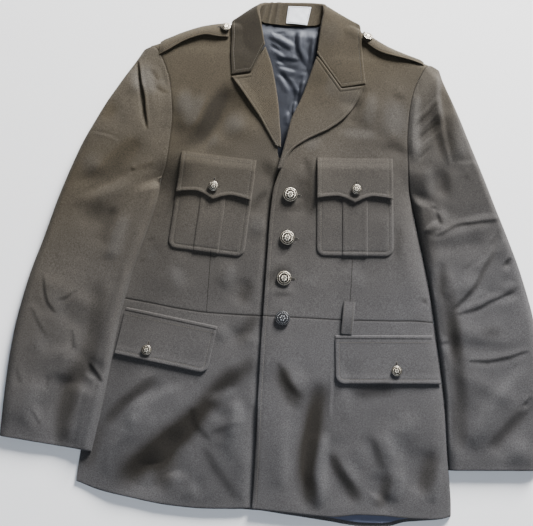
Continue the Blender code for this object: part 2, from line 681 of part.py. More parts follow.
# ---------------------------------------------------------------- straps and pockets
def make_strap(side, table, wool):
    """Strap on the shoulder: the body's own rounded edge, moved out."""
    ends = read_rows(table, np.linspace(0.0, 1.0, 10))
    x, reach = ends[:, :1], ends[:, 1:2]
    s = np.array((0.0, 0.22, 0.42, 0.6, 0.76, 0.9, 1.0))[None, :]
    inside = reach * (1.0 - np.sin(s * math.pi / 2.0))
    plan = np.stack((x + 0.0 * s, shoulder_y(x) - inside), axis=-1)
    points = with_height(plan, side_top(side)(plan[..., 0], plan[..., 1]))
    skirt = points[:, -1:] - (0.0, 0.0, STRAP_SKIRT)
    points = np.concatenate((points, skirt), axis=1)
    along, across = np.gradient(points, axis=(0, 1))
    normal = np.cross(along, across)
    normal /= np.linalg.norm(normal, axis=2)[..., None]
    if normal[5, 0, 2] < 0.0:
        normal = -normal
    points = points + normal * (GAP + 0.35)
    sheet(f"{side}_strap", points, STRAP_THICK, wool, grow=1.0)


def turned(local_x, local_y, centre_x, centre_y, degrees):
    """Plan points of a pocket's own frame, x across and y up from its top centre."""
    angle = math.radians(degrees)
    x = centre_x + local_x * math.cos(angle) - local_y * math.sin(angle)
    y = centre_y + local_x * math.sin(angle) + local_y * math.cos(angle)
    return x, y


def make_breast_pocket(side, centre_x, centre_y, degrees, wool):
    """Patch with two round lower corners and a raised box pleat."""
    top = side_top(side)
    corner = np.radians((0, 30, 60, 90))
    straight = np.array((22.0, 55.0, 90.0, 122.0))
    low = POCKET_DEPTH - POCKET_CORNER
    depth = np.concatenate((straight, low + POCKET_CORNER * np.sin(corner)))
    half = np.full(len(straight), 0.5 * POCKET_WIDTH)
    half = np.concatenate((half, 0.5 * POCKET_WIDTH - POCKET_CORNER * (1 - np.cos(corner))))
    pleat = 0.5 * PLEAT_WIDTH
    inner = np.array((0.0, pleat - 0.6, pleat + 0.6))
    outer = np.array((0.33, 0.66, 1.0))
    right = np.concatenate(
        (np.repeat(inner[None], len(half), 0), inner[-1] + (half[:, None] - inner[-1]) * outer),
        axis=1,
    )
    across = np.concatenate((-right[:, :0:-1], right), axis=1)
    x, y = turned(across, -depth[:, None], centre_x, centre_y, degrees)
    raised = PLEAT_RISE * (np.abs(across) < pleat)
    height = top(x, y) + GAP + BEND_CLEAR + raised
    sheet(f"{side}_breast_pocket", np.stack((x, y, height), axis=-1), POCKET_THICK, wool, 1.0)


def flap_top(side, x, y, depth):
    """Outer face of a breast flap: sewn down at its top, then over the patch."""
    under = POCKET_THICK + PLEAT_RISE + GAP + BEND_CLEAR
    return side_top(side)(x, y) + GAP + under * smooth(depth / 20.0) + FLAP_THICK


def make_breast_flap(side, centre_x, centre_y, degrees, wool):
    edge = np.array(BREAST_FLAP_EDGE, dtype=float)
    across = np.concatenate((-edge[:0:-1, 0], edge[:, 0]))
    drop = np.concatenate((edge[:0:-1, 1], edge[:, 1]))
    share = np.array((0.0, 0.12, 0.24, 0.42, 0.6, 0.8, 1.0))[:, None]
    depth = drop[None, :] * share
    x, y = turned(across[None, :] + 0.0 * depth, -depth, centre_x, centre_y, degrees)
    height = flap_top(side, x, y, depth)
    sheet(f"{side}_breast_flap", np.stack((x, y, height), axis=-1), FLAP_THICK, wool)


def side_flap_frame(inner_x, inner_y, outer_x, outer_y):
    width = math.hypot(outer_x - inner_x, outer_y - inner_y)
    out = np.array((outer_x - inner_x, outer_y - inner_y)) / width
    down = np.array((out[1], -out[0])) * (1.0 if out[0] > 0.0 else -1.0)
    return np.array((inner_x, inner_y)), out, down, width


def side_flap_top(side, x, y):
    """Outer face of a side flap, clear of the rounded side it bends over."""
    top = side_top(side)
    bend = 1.0 - round_edge(left_edge(y) - x, LEFT_ROUND) if side == "left" else 0.0
    return top(x, y) + GAP + FLAP_THICK + 1.2 * bend


def make_side_flap(side, inner_x, inner_y, outer_x, outer_y, wool):
    start, out, down, width = side_flap_frame(inner_x, inner_y, outer_x, outer_y)
    corner = SIDE_FLAP_CORNER
    ends = corner * (1.0 - np.cos(np.radians((0, 30, 60, 90))))
    along = np.concatenate((ends, np.linspace(corner, width, 13)[1:]))
    drop = np.full(len(along), SIDE_FLAP_DEPTH)
    drop[:4] -= corner * (1.0 - np.sin(np.radians((0, 30, 60, 90))))
    share = np.array((0.0, 0.25, 0.5, 0.75, 1.0))[:, None]
    plan = start + out * along[None, :, None] + down * (drop[None, :] * share)[..., None]
    height = side_flap_top(side, plan[..., 0], plan[..., 1])
    sheet(f"{side}_side_flap", with_height(plan, height), FLAP_THICK, wool)

    strip = np.array((-GAP, -0.5 * WELT_DEPTH, -WELT_DEPTH))[:, None]
    run = np.linspace(0.0, width, 12)
    plan = start + out * run[None, :, None] + down * (strip + 0.0 * run)[..., None]
    height = side_flap_top(side, plan[..., 0], plan[..., 1]) - FLAP_THICK + WELT_THICK
    sheet(f"{side}_welt", with_height(plan, height), WELT_THICK, wool)


def make_belt_loop(wool):
    across = np.linspace(-0.5 * LOOP_WIDTH, 0.5 * LOOP_WIDTH, 4)[None, :]
    along = np.linspace(0.0, 1.0, 8)[:, None]
    x = LOOP_X + across - 2.0 * along
    y = LOOP_Y - LOOP_LENGTH * along + 0.0 * across
    arch = LOOP_ARCH * np.sin(math.pi * along)
    height = left_top(x, y) + GAP + 0.3 + CLOTH + arch
    sheet("belt_loop", np.stack((x, y, height), axis=-1), CLOTH, wool)


def make_label(white):
    """Bare label on the inside of the neck: four corners, slightly bowed."""
    corners = np.array(LABEL_CORNERS, dtype=float)
    v = np.linspace(0.0, 1.0, 5)[:, None, None]
    u = np.linspace(0.0, 1.0, 5)[None, :, None]
    low = corners[0] + (corners[1] - corners[0]) * u
    high = corners[3] + (corners[2] - corners[3]) * u
    plan = low + (high - low) * v
    height = LABEL_LEVEL + 0.8 * np.sin(math.pi * u[..., 0]) + 0.0 * v[..., 0]
    sheet("label", with_height(plan, height), LABEL_THICK, white, grow=1.0)


# ---------------------------------------------------------------- buttons
def make_button(name, x, y, radius, seat, slope, finish):
    """Domed button with a rolled rim and a shank, turned about the cloth's normal."""
    profile = [(share * radius, height) for share, height in BUTTON_PROFILE]
    build = bmesh.new()
    rings = []
    for ring_radius, height in profile:
        turn = [2.0 * math.pi * k / BUTTON_SIDES for k in range(BUTTON_SIDES)]
        rings.append([
            build.verts.new((ring_radius * math.cos(a) * MM, ring_radius * math.sin(a) * MM,
                             height * MM))
            for a in turn
        ])
    for low, high in zip(rings, rings[1:]):
        for k in range(BUTTON_SIDES):
            after = (k + 1) % BUTTON_SIDES
            build.faces.new((low[k], low[after], high[after], high[k]))
    build.faces.new(rings[0][::-1])
    build.faces.new(rings[-1])
    mesh = bpy.data.meshes.new(name)
    build.to_mesh(mesh)
    build.free()
    mesh.shade_smooth()
    made = add_object(name, mesh, finish)
    normal = Vector((-slope[0], -slope[1], 1.0)).normalized()
    made.rotation_mode = "QUATERNION"
    made.rotation_quaternion = normal.to_track_quat("Z", "Y")
    made.location = to_metres((x, y, seat))


def make_buttons(metal, plastic):
    for name, x, y, radius, side, stack in BUTTONS:
        top = side_top(side)
        step = SLOPE_STEP
        slope = (
            float(top(x + step, y) - top(x - step, y)) / (2.0 * step),
            float(top(x, y + step) - top(x, y - step)) / (2.0 * step),
        )
        seat = float(top(x, y)) + stack + GAP
        finish = plastic if name == "front_button_4" else metal
        make_button(name, x, y, radius, seat, slope, finish)


def clear_scene():
    for thing in list(bpy.data.objects):
        bpy.data.objects.remove(thing, do_unlink=True)


def main():
    clear_scene()
    wool = material("wool", (0.105, 0.092, 0.068), 0.85)
    satin = material("lining_satin", (0.03, 0.032, 0.042), 0.4)
    white = material("label_cloth", (0.75, 0.76, 0.78), 0.7)
    metal = material("button_metal", (0.45, 0.41, 0.33), 0.35, 1.0)
    plastic = material("button_plastic", (0.02, 0.02, 0.022), 0.35)
    make_back(wool, satin)
    make_fronts(wool)
    make_lapel("right", RIGHT_LAPEL, RIGHT_GORGE, wool)
    make_lapel("left", LEFT_LAPEL, LEFT_GORGE, wool)
    make_collar(wool)
    for side in ("right", "left"):
        make_top_sleeve(side, wool)
        make_under_sleeve(side, wool)
    make_strap("right", RIGHT_STRAP, wool)
    make_strap("left", LEFT_STRAP, wool)
    for side, x, y, degrees in BREAST_POCKETS:
        make_breast_pocket(side, x, y, degrees, wool)
        make_breast_flap(side, x, y, degrees, wool)
    for flap in SIDE_FLAPS:
        make_side_flap(*flap, wool)
    make_belt_loop(wool)
    make_label(white)
    make_buttons(metal, plastic)


if __name__ == "__main__":
    main()
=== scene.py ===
"""Military dress tunic laid flat on its back, front up, and the stage it lies on.

Sizes are millimetres in the tunic's own frame until a mesh is made: +X is the
wearer's left, +Y runs towards the collar, +Z is up and the floor is z = 0. Each
cloth piece is a closed thin wall on a grid of points. Its height is the sum of the
body's crown, its large folds and its creases, which are soft troughs and ridges.
"""

import math

import bpy
import numpy as np
from bpy.props import FloatProperty, FloatVectorProperty, PointerProperty
from mathutils import Matrix, Vector


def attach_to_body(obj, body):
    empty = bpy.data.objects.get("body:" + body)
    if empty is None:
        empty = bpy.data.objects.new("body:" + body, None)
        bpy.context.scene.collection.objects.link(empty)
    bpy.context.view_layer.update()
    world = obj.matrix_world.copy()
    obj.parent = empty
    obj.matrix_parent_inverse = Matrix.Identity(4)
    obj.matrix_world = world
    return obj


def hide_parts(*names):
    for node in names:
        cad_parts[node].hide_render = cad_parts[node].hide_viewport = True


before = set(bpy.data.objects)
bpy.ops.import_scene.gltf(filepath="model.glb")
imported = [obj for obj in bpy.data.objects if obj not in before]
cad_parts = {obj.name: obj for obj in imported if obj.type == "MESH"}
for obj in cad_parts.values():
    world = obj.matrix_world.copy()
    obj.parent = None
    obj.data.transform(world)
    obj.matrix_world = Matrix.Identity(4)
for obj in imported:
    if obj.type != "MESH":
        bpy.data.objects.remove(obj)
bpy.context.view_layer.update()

bl_info = {
    "name": "Dress Tunic",
    "version": (1, 0, 0),
    "blender": (4, 5, 0),
    "location": "View3D > Sidebar > Tunic",
    "description": "Builds a wool dress tunic that lies flat, with its buttons and its stage",
    "category": "Add Mesh",
}

MM = 0.001
CENTRE = np.array((23.5, 22.5, 0.0))    # middle of the laid-out tunic, put at the origin

# ------------------------------------------------------------ sizes shared with the frame
CLOTH, LEAF, SATIN = 1.8, 1.6, 0.8  # wool with its lining; lapel and collar; back lining
GAP = 0.4                           # air between layers
BEND_CLEAR = 0.2                    # extra air where cloth lies over a bend
RIM = CLOTH + GAP + 1.4             # lowest point of a rounded edge's outer face
RIM_FLAT = 2 * CLOTH + GAP          # outer face of a front pressed flat on the back
FRONT_LAP = 59.0                    # how far the right front runs under the left
LAP_LIFT = 2.6                      # how far that raises the left front
LEFT_ROUND = 32.0                   # width of the rounded left side
RIGHT_PRESS = 70.0                  # width over which the pressed right side rises
ARMPIT = 95.0                       # level where the sides end and the armholes start
SHOULDER_ROUND = 15.0               # width of the rounded shoulder line
NECK_MIDDLE = 15.0                  # x of the middle of the neck
NECK_HOLLOW = 4.5                   # how far the fronts sink towards the open neck
CROSSING_LIFT = 2.4                 # extra height where the two rolls cross
ROLL_RADIUS = 0.5 * (CLOTH + 2 * GAP + 2 * LEAF)
LAPEL_RETURN = 15.0                 # how far a lapel runs back below the front
LEAF_CLEAR = GAP + LEAF + BEND_CLEAR    # outer face of a lapel above the front's
FALL_LIFT = 1.8                     # how far the collar stands off at the shoulder line
FALL_BELOW = (-85.0, 125.0)         # span of x in which the collar's fall runs below the back
STRAP_THICK, STRAP_SKIRT = 2.2, 1.2
POCKET_WIDTH, POCKET_DEPTH = 118.0, 155.0
POCKET_TOP = 22.0                   # a breast pocket starts this far below its flap's top
POCKET_THICK, POCKET_CORNER = 1.3, 12.0
PLEAT_WIDTH, PLEAT_RISE = 38.0, 1.0
FLAP_THICK = 2.0
SIDE_FLAP_DEPTH, SIDE_FLAP_CORNER = 68.0, 13.0
WELT_DEPTH, WELT_THICK = 6.0, 1.2
WELT_SINK = 0.1                     # how far a welt's upper edge is pressed down
LOOP_X, LOOP_Y = 132.0, -53.0
LOOP_WIDTH, LOOP_LENGTH, LOOP_ARCH = 18.0, 50.0, 2.2
LABEL_LEVEL, LABEL_THICK = 7.9, 0.5
LABEL_SHIFT = (3.5, -2.5)
LABEL_CORNERS = ((1, 396), (35, 395), (40, 426), (3, 425))
BREAST_STACK = 2 * GAP + BEND_CLEAR + POCKET_THICK + PLEAT_RISE + FLAP_THICK
SIDE_STACK = GAP + FLAP_THICK
STRAP_STACK = GAP + STRAP_THICK + 0.6
FRONT_BUTTON, POCKET_BUTTON = 11.5, 8.0      # radii: 36 line and 25 line buttons

# ------------------------------------------------------------ sizes of the sewing
SEAM_GAP = 0.13                     # each side's share of the gap at a seam
SEAM_DIP, SEAM_REACH = 0.45, 1.3    # how deep and how wide the cloth sinks beside a seam
SEAM_SHADE = 0.8                    # reach of the dark line in a seam
EDGE_SHADE = 1.1                    # half width of the dark line beside the closing edge
RIM_HIGHLIGHT_IN = 0.7                        # how far inside an edge its painted highlight line lies
TURN = 1.3                          # radius of a turned edge
STITCH_IN = 6.4                     # topstitching lies a quarter inch inside an edge
STITCH_DIP, STITCH_REACH = 0.42, 0.95
STRAP_STITCH_IN, LOOP_STITCH_IN, LABEL_STITCH_IN = 4.6, 3.0, 1.6
EDGE_PUFF = 0.3                     # turned edge stands proud between rim and stitching
CLOSING_SEWN = 0.47                 # share of the left front's closing edge that is stitched
EDGE_GAP = 2.6                      # how far the right front sinks beside the closing edge
LAPEL_CURL = {"right": 2.4, "left": 1.0}    # how far a lapel's outer edge lifts
FLAP_CURL = 1.3                     # how far the lower edges of the flaps lift
STRAP_SINK = 1.5                    # how far a strap sinks into the armhole seam
STRAP_BRIDGE = 2.6                  # how far the inner edge of a strap stands off
FLAP_FLARE = 11.0                   # how far the left side flap widens towards its lower end
HOLE_SHOWS, HOLE_HALF = 5.2, 1.2    # how far a buttonhole shows beyond its button, half width
TO_LIGHT = (0.29, 0.96)             # plan direction towards the main light
DARTS = ((-87.5, 12.0, -87.0, -84.0), (133.0, 12.0, 133.0, -52.0))  # both ends of each; drawn only as lines of painted shade

# ------------------------------------------------------------ lines of the grids
TURNED = (0.3, 0.7, 1.3, 2.2, 3.6, 5.2, STITCH_IN, 7.6, 9.6)    # beside a turned edge
SEAMED = (0.7, 1.5, 2.6, 4.2)       # beside a seam
HEMMED = (0.6, 1.4, 2.6)            # beside a hem or a cuff
FINE_PITCH, PITCH, WIDE_PITCH = 1.7, 1.75, 2.0      # of narrow pieces, fronts and skirts

# ------------------------------------------------------------ measured places
# Body seen from above. Columns: level y, right edge x, left edge x, crown height.
# Above the armpit the edges are the armhole seams.
BODY_LEVELS = (
    (-390, -263, 303, 8.0), (-350, -263, 302, 8.5), (-296, -260, 296, 11.0),
    (-252, -255, 291, 12.5), (-207, -249, 287, 13.0), (-160, -242, 280, 13.0),
    (-110, -232, 271, 12.0), (-76, -225, 265, 11.5), (-28, -215, 256, 13.0),
    (17, -204, 245, 14.0), (59, -194, 234, 15.0), (99, -184, 224, 16.0), (125, -174, 217, 17.0),
    (150, -168, 213, 18.0), (183, -166, 210, 18.5), (216, -165, 208, 19.0),
    (248, -168, 209, 19.0), (282, -175, 213, 18.5), (310, -186, 222, 18.0),
    (333, -200, 234, 17.0), (342, -212, 246, 16.0), (400, -230, 262, 13.0),
)
# Shoulder line and back neck. Columns: x, y.
SHOULDER_LINE = (
    (-240, 330), (-212, 341), (-190, 350), (-158, 366), (-127, 378), (-99, 384),
    (-78, 386), (-55, 389), (-36, 391), (9, 390), (53, 392), (75, 396),
    (100, 398), (124, 390), (149, 375), (174, 362), (207, 350), (232, 342),
    (246, 337), (270, 329),
)
# Waist seam and hems. Columns: x, y of the seam, y of the front hem, y of the back hem.
LOWER_SEAMS = (
    (-265, -66, -351, -351), (-225, -70, -362, -363), (-175, -76, -370, -371),
    (-128, -82, -376, -377), (-81, -85, -378, -379), (-35, -85, -376, -377),
    (0, -84, -373, -375), (60, -83, -375, -379), (121, -82, -377, -384), (167, -80, -371, -388),
    (205, -78, -370, -386), (235, -76, -371, -377), (285, -76, -369, -370),
    (305, -76, -363, -364),
)
# Inner edges of the fronts: closing edge, then the roll of the lapel, then the
# neckline. Columns: y, x.
RIGHT_INNER = (
    (-400, FRONT_LAP), (-200, FRONT_LAP), (-84, FRONT_LAP), (60, FRONT_LAP), (105, 56),
    (135, 42), (155, 24), (170, 6), (182, 5), (196, 4), (220, 1), (248, -2), (280, -9),
    (318, -21), (345, -38), (370, -46), (394, -56),
)
LEFT_INNER = (
    (-400, 5), (-371, 4), (-280, 3), (-200, 1), (-84, 0), (60, 0), (110, 2),
    (136, 8), (160, 15), (183, 19), (222, 26), (243, 33), (270, 45), (304, 54),
    (341, 69), (372, 73), (398, 79),
)
# Soft folds in the fronts and skirts. Columns: x and y of one end, x and y of the
# other, half width, height (a trough is negative).
BODY_FOLDS = (
    (-92, 262, -142, 182, 16, 2.4), (-60, 250, -112, 176, 14, -2.2),
    (-190, 40, -120, -20, 18, 1.8), (-60, -190, -175, -290, 20, 2.6),
    (-30, -225, -150, -330, 18, -2.4), (-10, -300, -70, -365, 16, 2.0),
    (86, -200, 72, -350, 18, -2.6), (120, -215, 112, -360, 18, 2.2),
    (190, -230, 205, -350, 20, 2.0), (150, 245, 185, 300, 20, 2.0),
    (215, -250, 262, -330, 16, -1.8), (200, 60, 228, -20, 16, 1.6),
)
# Sleeves. Columns: inner x, inner y, outer x, outer y, crown height. The first
# rows run down the armhole seam from the shoulder tip to the armpit.
RIGHT_SLEEVE = (
    (-210, 337, -223, 331, 9), (-201, 331, -238, 302, 17), (-186, 307, -258, 266, 24),
    (-176, 280, -276, 233, 27), (-170, 248, -292, 199, 27), (-167, 216, -306, 168, 25),
    (-168, 176, -322, 122, 22), (-172, 140, -336, 75, 20), (-179, 84, -351, 15, 18),
    (-195, 18, -365, -37, 17), (-211, -50, -375, -88, 17), (-222, -115, -382, -140, 16),
    (-227, -170, -385, -190, 15), (-232, -220, -386, -240, 14), (-244, -306, -386, -293, 10),
)
LEFT_SLEEVE = (
    (246, 337, 257, 330, 9), (236, 334, 267, 300, 19), (223, 311, 281, 270, 26),
    (214, 282, 294, 243, 28), (210, 248, 306, 217, 27), (209, 216, 320, 187, 25),
    (211, 183, 338, 147, 22), (216, 148, 354, 110, 19), (227, 99, 374, 65, 17),
    (248, 17, 398, 5, 16), (268, -76, 422, -80, 16), (284, -160, 431, -160, 15),
    (292, -225, 433, -228, 13), (297, -297, 431, -288, 10),
)
# Soft folds in the sleeves, columns as for the body.
RIGHT_SLEEVE_FOLDS = (
    (-226, 296, -205, 205, 12, -5.0), (-300, 70, -222, 105, 14, 3.0),
    (-310, 100, -230, 130, 12, -2.5), (-352, -50, -250, -95, 14, 3.2),
    (-360, -85, -262, -125, 12, -2.8), (-255, -150, -345, -175, 13, 2.8),
    (-262, -180, -335, -262, 14, -3.4), (-240, -200, -290, -288, 12, 2.4),
)
LEFT_SLEEVE_FOLDS = (
    (256, 318, 262, 220, 10, 4.0), (222, 205, 262, 245, 12, -3.6), (245, 60, 345, 78, 13, 3.4),
    (250, 35, 330, 52, 12, -2.8), (362, 60, 300, -50, 15, 3.2), (290, -80, 400, -110, 14, 3.0),
    (292, -115, 405, -105, 12, -3.0), (300, -150, 395, -190, 13, 2.6),
    (318, -190, 322, -280, 14, -3.2),
)
# Lapels. Columns: roll x, roll y, outer edge x, outer edge y.
RIGHT_LAPEL = (
    (10, 182, 1, 185), (9, 200, -15, 210), (6, 220, -27, 229), (2, 250, -43, 250),
    (-5, 285, -58, 270), (-14, 320, -69, 284), (-26, 350, -77, 294),
)
LEFT_LAPEL = (
    (6, 145, 13, 147), (12, 172, 27, 177), (17, 198, 50, 197), (23, 230, 84, 217),
    (36, 264, 110, 240), (47, 302, 126, 266), (57, 340, 137, 293),
)
RIGHT_GORGE = (0.36, 27.0)          # where along the top edge it bends, and how deep
LEFT_GORGE = (0.52, 29.0)
# Collar sections from the right gorge round the neck to the left gorge. Columns:
# fold x, y, z; stand seam x, y, z; turn of the fall x, y, z; outer edge x, y, z;
# radius of the fold.
COLLAR = (
    (-27.6, 353.5, 13.5, -37, 349.5, 9.5, -53.5, 324, 15.0, -77, 297, 12.0, 2.9),
    (-32, 374, 14.0, -41, 370, 9.5, -57, 353, 15.0, -81, 334, 12.0, 3.0),
    (-37, 397, 14.5, -46, 389, 9.5, -60, 378, 15.0, -82, 362, 10.0, 3.2),
    (-40, 412, 14.5, -49, 398, 9.0, -64, 400, 13.0, -84, 388, 9.0, 3.8),
    (-37, 423, 10.5, -43, 398, 8.0, -54, 414, 5.0, -70, 398, 1.0, 3.8),
    (-25, 429, 4.4, -29, 392, 7.4, -33, 412, 0.0, -42, 388, 0.0, 3.7),
    (9, 431, 3.7, 9, 390, 7.4, 9, 412, 0.0, 9, 384, 0.0, 3.7),
    (48, 433, 4.4, 51, 393, 7.4, 55, 415, 0.0, 62, 390, 0.0, 3.7),
    (63, 429, 10.5, 69, 402, 8.0, 80, 421, 5.0, 100, 407, 1.0, 3.8),
    (63, 414, 14.5, 74, 402, 9.0, 93, 408, 13.0, 125, 397, 9.0, 3.8),
    (61, 397, 14.5, 72, 390, 9.5, 95, 384, 15.0, 128, 368, 10.0, 3.2),
    (59, 371, 14.0, 69, 368, 9.5, 97, 348, 15.0, 132, 333, 12.0, 3.0),
    (57, 342.5, 13.5, 66, 339, 9.5, 98, 317, 15.0, 138, 295.5, 12.0, 2.9),
)
# Pockets and flaps. Columns: side, top centre x, top centre y, turn in degrees.
BREAST_POCKETS = (("right", -86, 163, -3.6), ("left", 127, 173, 3.4))
# Columns: side, inner top x and y, outer top x and y.
SIDE_FLAPS = (("right", -69, -111, -213, -90.5), ("left", 113, -112, 263, -102))
# Lower edge of a breast flap. Columns: distance from its middle, depth.
BREAST_FLAP_EDGE = ((0, 72.5), (6, 69.5), (15, 65.2), (28, 62), (44, 63.5), (59.5, 66.5))
# Straps. Columns: x, how far the strap's inner edge lies inside the shoulder line.
RIGHT_STRAP = ((-87, 25), (-102, 24), (-127, 18), (-152, 19), (-178, 24), (-195, 26))
LEFT_STRAP = ((130, 17), (153, 19), (178, 15), (205, 11), (229, 9))
# Buttons. Columns: name, x, y, radius, side of the body, layers under the button.
BUTTONS = (
    ("front_button_1", 29.5, 107, FRONT_BUTTON, "left", 0.0),
    ("front_button_2", 29.5, 39, FRONT_BUTTON, "left", 0.0),
    ("front_button_3", 29.0, -24, FRONT_BUTTON, "left", 0.0),
    ("front_button_4", 30.5, -86, FRONT_BUTTON, "left", 0.0),
    ("right_breast_button", -91, 112, POCKET_BUTTON, "right", BREAST_STACK),
    ("left_breast_button", 132, 122, POCKET_BUTTON, "left", BREAST_STACK),
    ("right_side_button", -173, -149, POCKET_BUTTON, "right", SIDE_STACK),
    ("left_side_button", 209, -154, POCKET_BUTTON, "left", SIDE_STACK),
    ("right_strap_button", -92, 376, POCKET_BUTTON, "right", STRAP_STACK),
    ("left_strap_button", 137, 376, POCKET_BUTTON, "left", STRAP_STACK),
)
# Back of a button, from its rim to its shank. Columns: share of its radius, height.
BUTTON_BACK = ((1.0, 2.35), (0.93, 2.0), (0.22, 1.5), (0.22, 0.0))
# Buttonholes. Columns: button, cloth it is cut in, direction in which it shows.
BUTTONHOLES = (
    ("front_button_1", "left_front_cloth", 0), ("front_button_2", "left_front_cloth", 0),
    ("front_button_3", "left_front_cloth", 0),
    ("right_breast_button", "right_breast_flap_cloth", 86),
    ("left_breast_button", "left_breast_flap_cloth", 90),
    ("right_side_button", "right_side_flap_cloth", 82),
    ("left_side_button", "left_side_flap_cloth", 92),
    ("right_strap_button", "right_strap_cloth", 176),
)
# Creases. Their places were read one by one, and their widths and tones then tuned in
# groups. Columns: x and y of one end, x and y of the other, half width of the band, depth
# of its tone (a dark band is negative), which sets both its relief and the shade or light
# painted into the wool's colour there. A row of two or four numbers carries the crease
# on: x and y of the next place, and where they change, the half width and the tone.
RIGHT_SLEEVE_CREASES = (
    (-210, 185, -242, 145, 12, -2.4), (-278, 106), (-267, 80, -284, 24, 14, -2.2),
    (-225, 304, -214, 253, 2.4, -5), (-201, 202, 2.2, -4.4), (-231, 301, -218, 249, 10.2, 2.3),
    (-215, 309, -200, 247, 11.6, 2.5), (-206, 298, -190, 278, 3.7, -1.1),
    (-196, 273, -183, 263, 3.7, -1), (-172, 259, 3, -1), (-194, 284, -177, 272, 4.2, 0.7),
    (-287, 184, -264, 181, 1.6, 0.7), (-241, 172), (-225, 131, -212, 130, 3, -1.5),
    (-212, 131, -186, 143, 4.2, -0.9), (-295, 88, -229, 130, 5.8, -0.9),
    (-282, 73, -216, 121, 11.6, 0.8), (-243, 71, -265, 0, 10, -2.4),
    (-224, 60, -242, -17, 10, 2.4), (-258, -200, -277, -249, 1.4, 0.8), (-294, -292),
    (-275, 159, -296, 113, 14, 1.9), (-257, 243, -278, 195, 12, -1.6),
    (-210, -41, -216, -95, 6, 2.6), (-225, -173, 6, 2.8), (-237, -234, 7, 3), (-251, -298),
    (-254, -53, -255, -110, 15, -3.4), (-264, -167, 15, -3.8), (-284, -212, 15, -5),
    (-290, -271, 15, -5.4), (-284, -300, 15, -5), (-261, -174, -247, -188, 3, -1.8),
    (-233, -202, 2.6, -1.8), (-266, -186, -246, -200, 4.2, 1.6),
    (-334, -202, -339, -241, 13, 2.4), (-339, -279), (-342, -247, -326, -274, 3.6, -0.9),
    (-342, -46, -334, -85, 2.4, -1.3), (-319, -100, 2.4, -1.1),
    (-316, -84, -298, -74, 2.6, -0.9), (-288, -65), (-290, -126, -288, -147, 3, -1),
    (-297, -170), (-357, -96, -328, -137, 3, -0.8), (-366, -192, -359, -217, 3.4, -0.8),
    (-318, -197, -323, -223, 3.4, -0.7), (-325, -63, -302, -118, 11, 1.6),
    (-336, -130, -330, -170, 10, 1.4),
)
LEFT_SLEEVE_CREASES = (
    (274, 10, 285, -52, 13, -3), (301, -138), (252, 257, 263, 215, 12, -3.2), (276, 179),
    (219, 283, 220, 226, 9, 3.2), (224, 175), (275, 268, 288, 217, 10, 3), (303, 181),
    (234, 111, 247, 53, 12, -2.4), (256, 8), (251, 315, 256, 260, 4.7, 2.4), (265, 222, 4.7, 2),
    (279, 176, 3.7, 1.4), (263, 303, 275, 239, 11.6, -3.2), (287, 191, 11.6, -2.1),
    (219, 241, 251, 278, 2.4, 0.7), (218, 228, 252, 269, 2.4, -0.8),
    (223, 220, 252, 255, 2.4, 0.7), (221, 207, 253, 239, 2.4, -0.8),
    (226, 195, 256, 225, 2.4, 0.7), (227, 181, 248, 202, 2.4, -0.7),
    (249, 101, 258, 106, 3, -1.6), (259, 96, 270, 75, 3.7, -1.6), (242, 63, 260, 84, 3.7, 1.3),
    (248, 55, 266, 75, 4.2, -1.1), (266, 107, 280, 82, 6.3, 1.1), (263, 60, 297, 77, 3.5, -1.6),
    (362, 92, 3.5, -1.4), (300, 85, 359, 100, 6.3, 1.1), (273, 53, 325, 70, 11.6, 1.4),
    (361, 76, 342, 44, 3.7, -1), (305, 9, 4.2, -1), (352, 51, 315, 12, 6.3, 1.3),
    (368, 66, 351, 33, 6.3, 1), (377, 35, 367, 18, 3, -1.6), (288, 174, 315, 178, 5.2, 1),
    (333, 157, 5.2, 0.9), (294, 157, 313, 149, 6.3, -0.9), (269, 165, 274, 117, 9, -2.2),
    (246, 171, 246, 115, 9, 1.9), (314, -47, 341, -17, 6.3, 1.4), (293, -27, 321, 6, 10.2, 1.8),
    (366, 11, 373, 31, 4.2, -1.1), (367, -30, 391, -12, 4.7, -1.3), (362, -19, 384, -2, 6.3, 1),
    (357, -44, 394, -29, 6.3, 1), (401, -194, 414, -177, 3, -1.2),
    (392, -203, 413, -189, 5.2, 1), (272, -94, 290, -130, 10.2, 2.1),
    (265, -116, 289, -103, 3.7, -1.3), (287, 4, 283, -40, 6.3, 1.1),
    (274, 19, 271, -41, 6.3, -1.1), (291, -64, 299, -110, 9, -3), (308, -177, 10, -3.2),
    (312, -264, 12, -3.4), (283, -140, 288, -208, 6, 2.6), (292, -267),
    (402, -132, 374, -166, 11, 3), (343, -222, 12, 3), (330, -262, 10, 2.2),
    (413, -185, 388, -219, 9, -3), (352, -263, 10, -3.2), (405, -236, 385, -285, 13, 2.6),
    (321, -133, 354, -128, 3, -1.6), (407, -113, 3.4, -1.6), (300, -63, 327, -53, 3, -1.4),
    (351, -38), (383, -22, 3, -1.2), (305, -52, 330, -40, 5, 1.2), (355, -24),
    (296, -53, 325, -15, 4.5, -2.6), (343, 25, 4.5, -2.4), (359, 60, 4, -2),
    (330, -88, 372, -84, 9, -1.6),
)
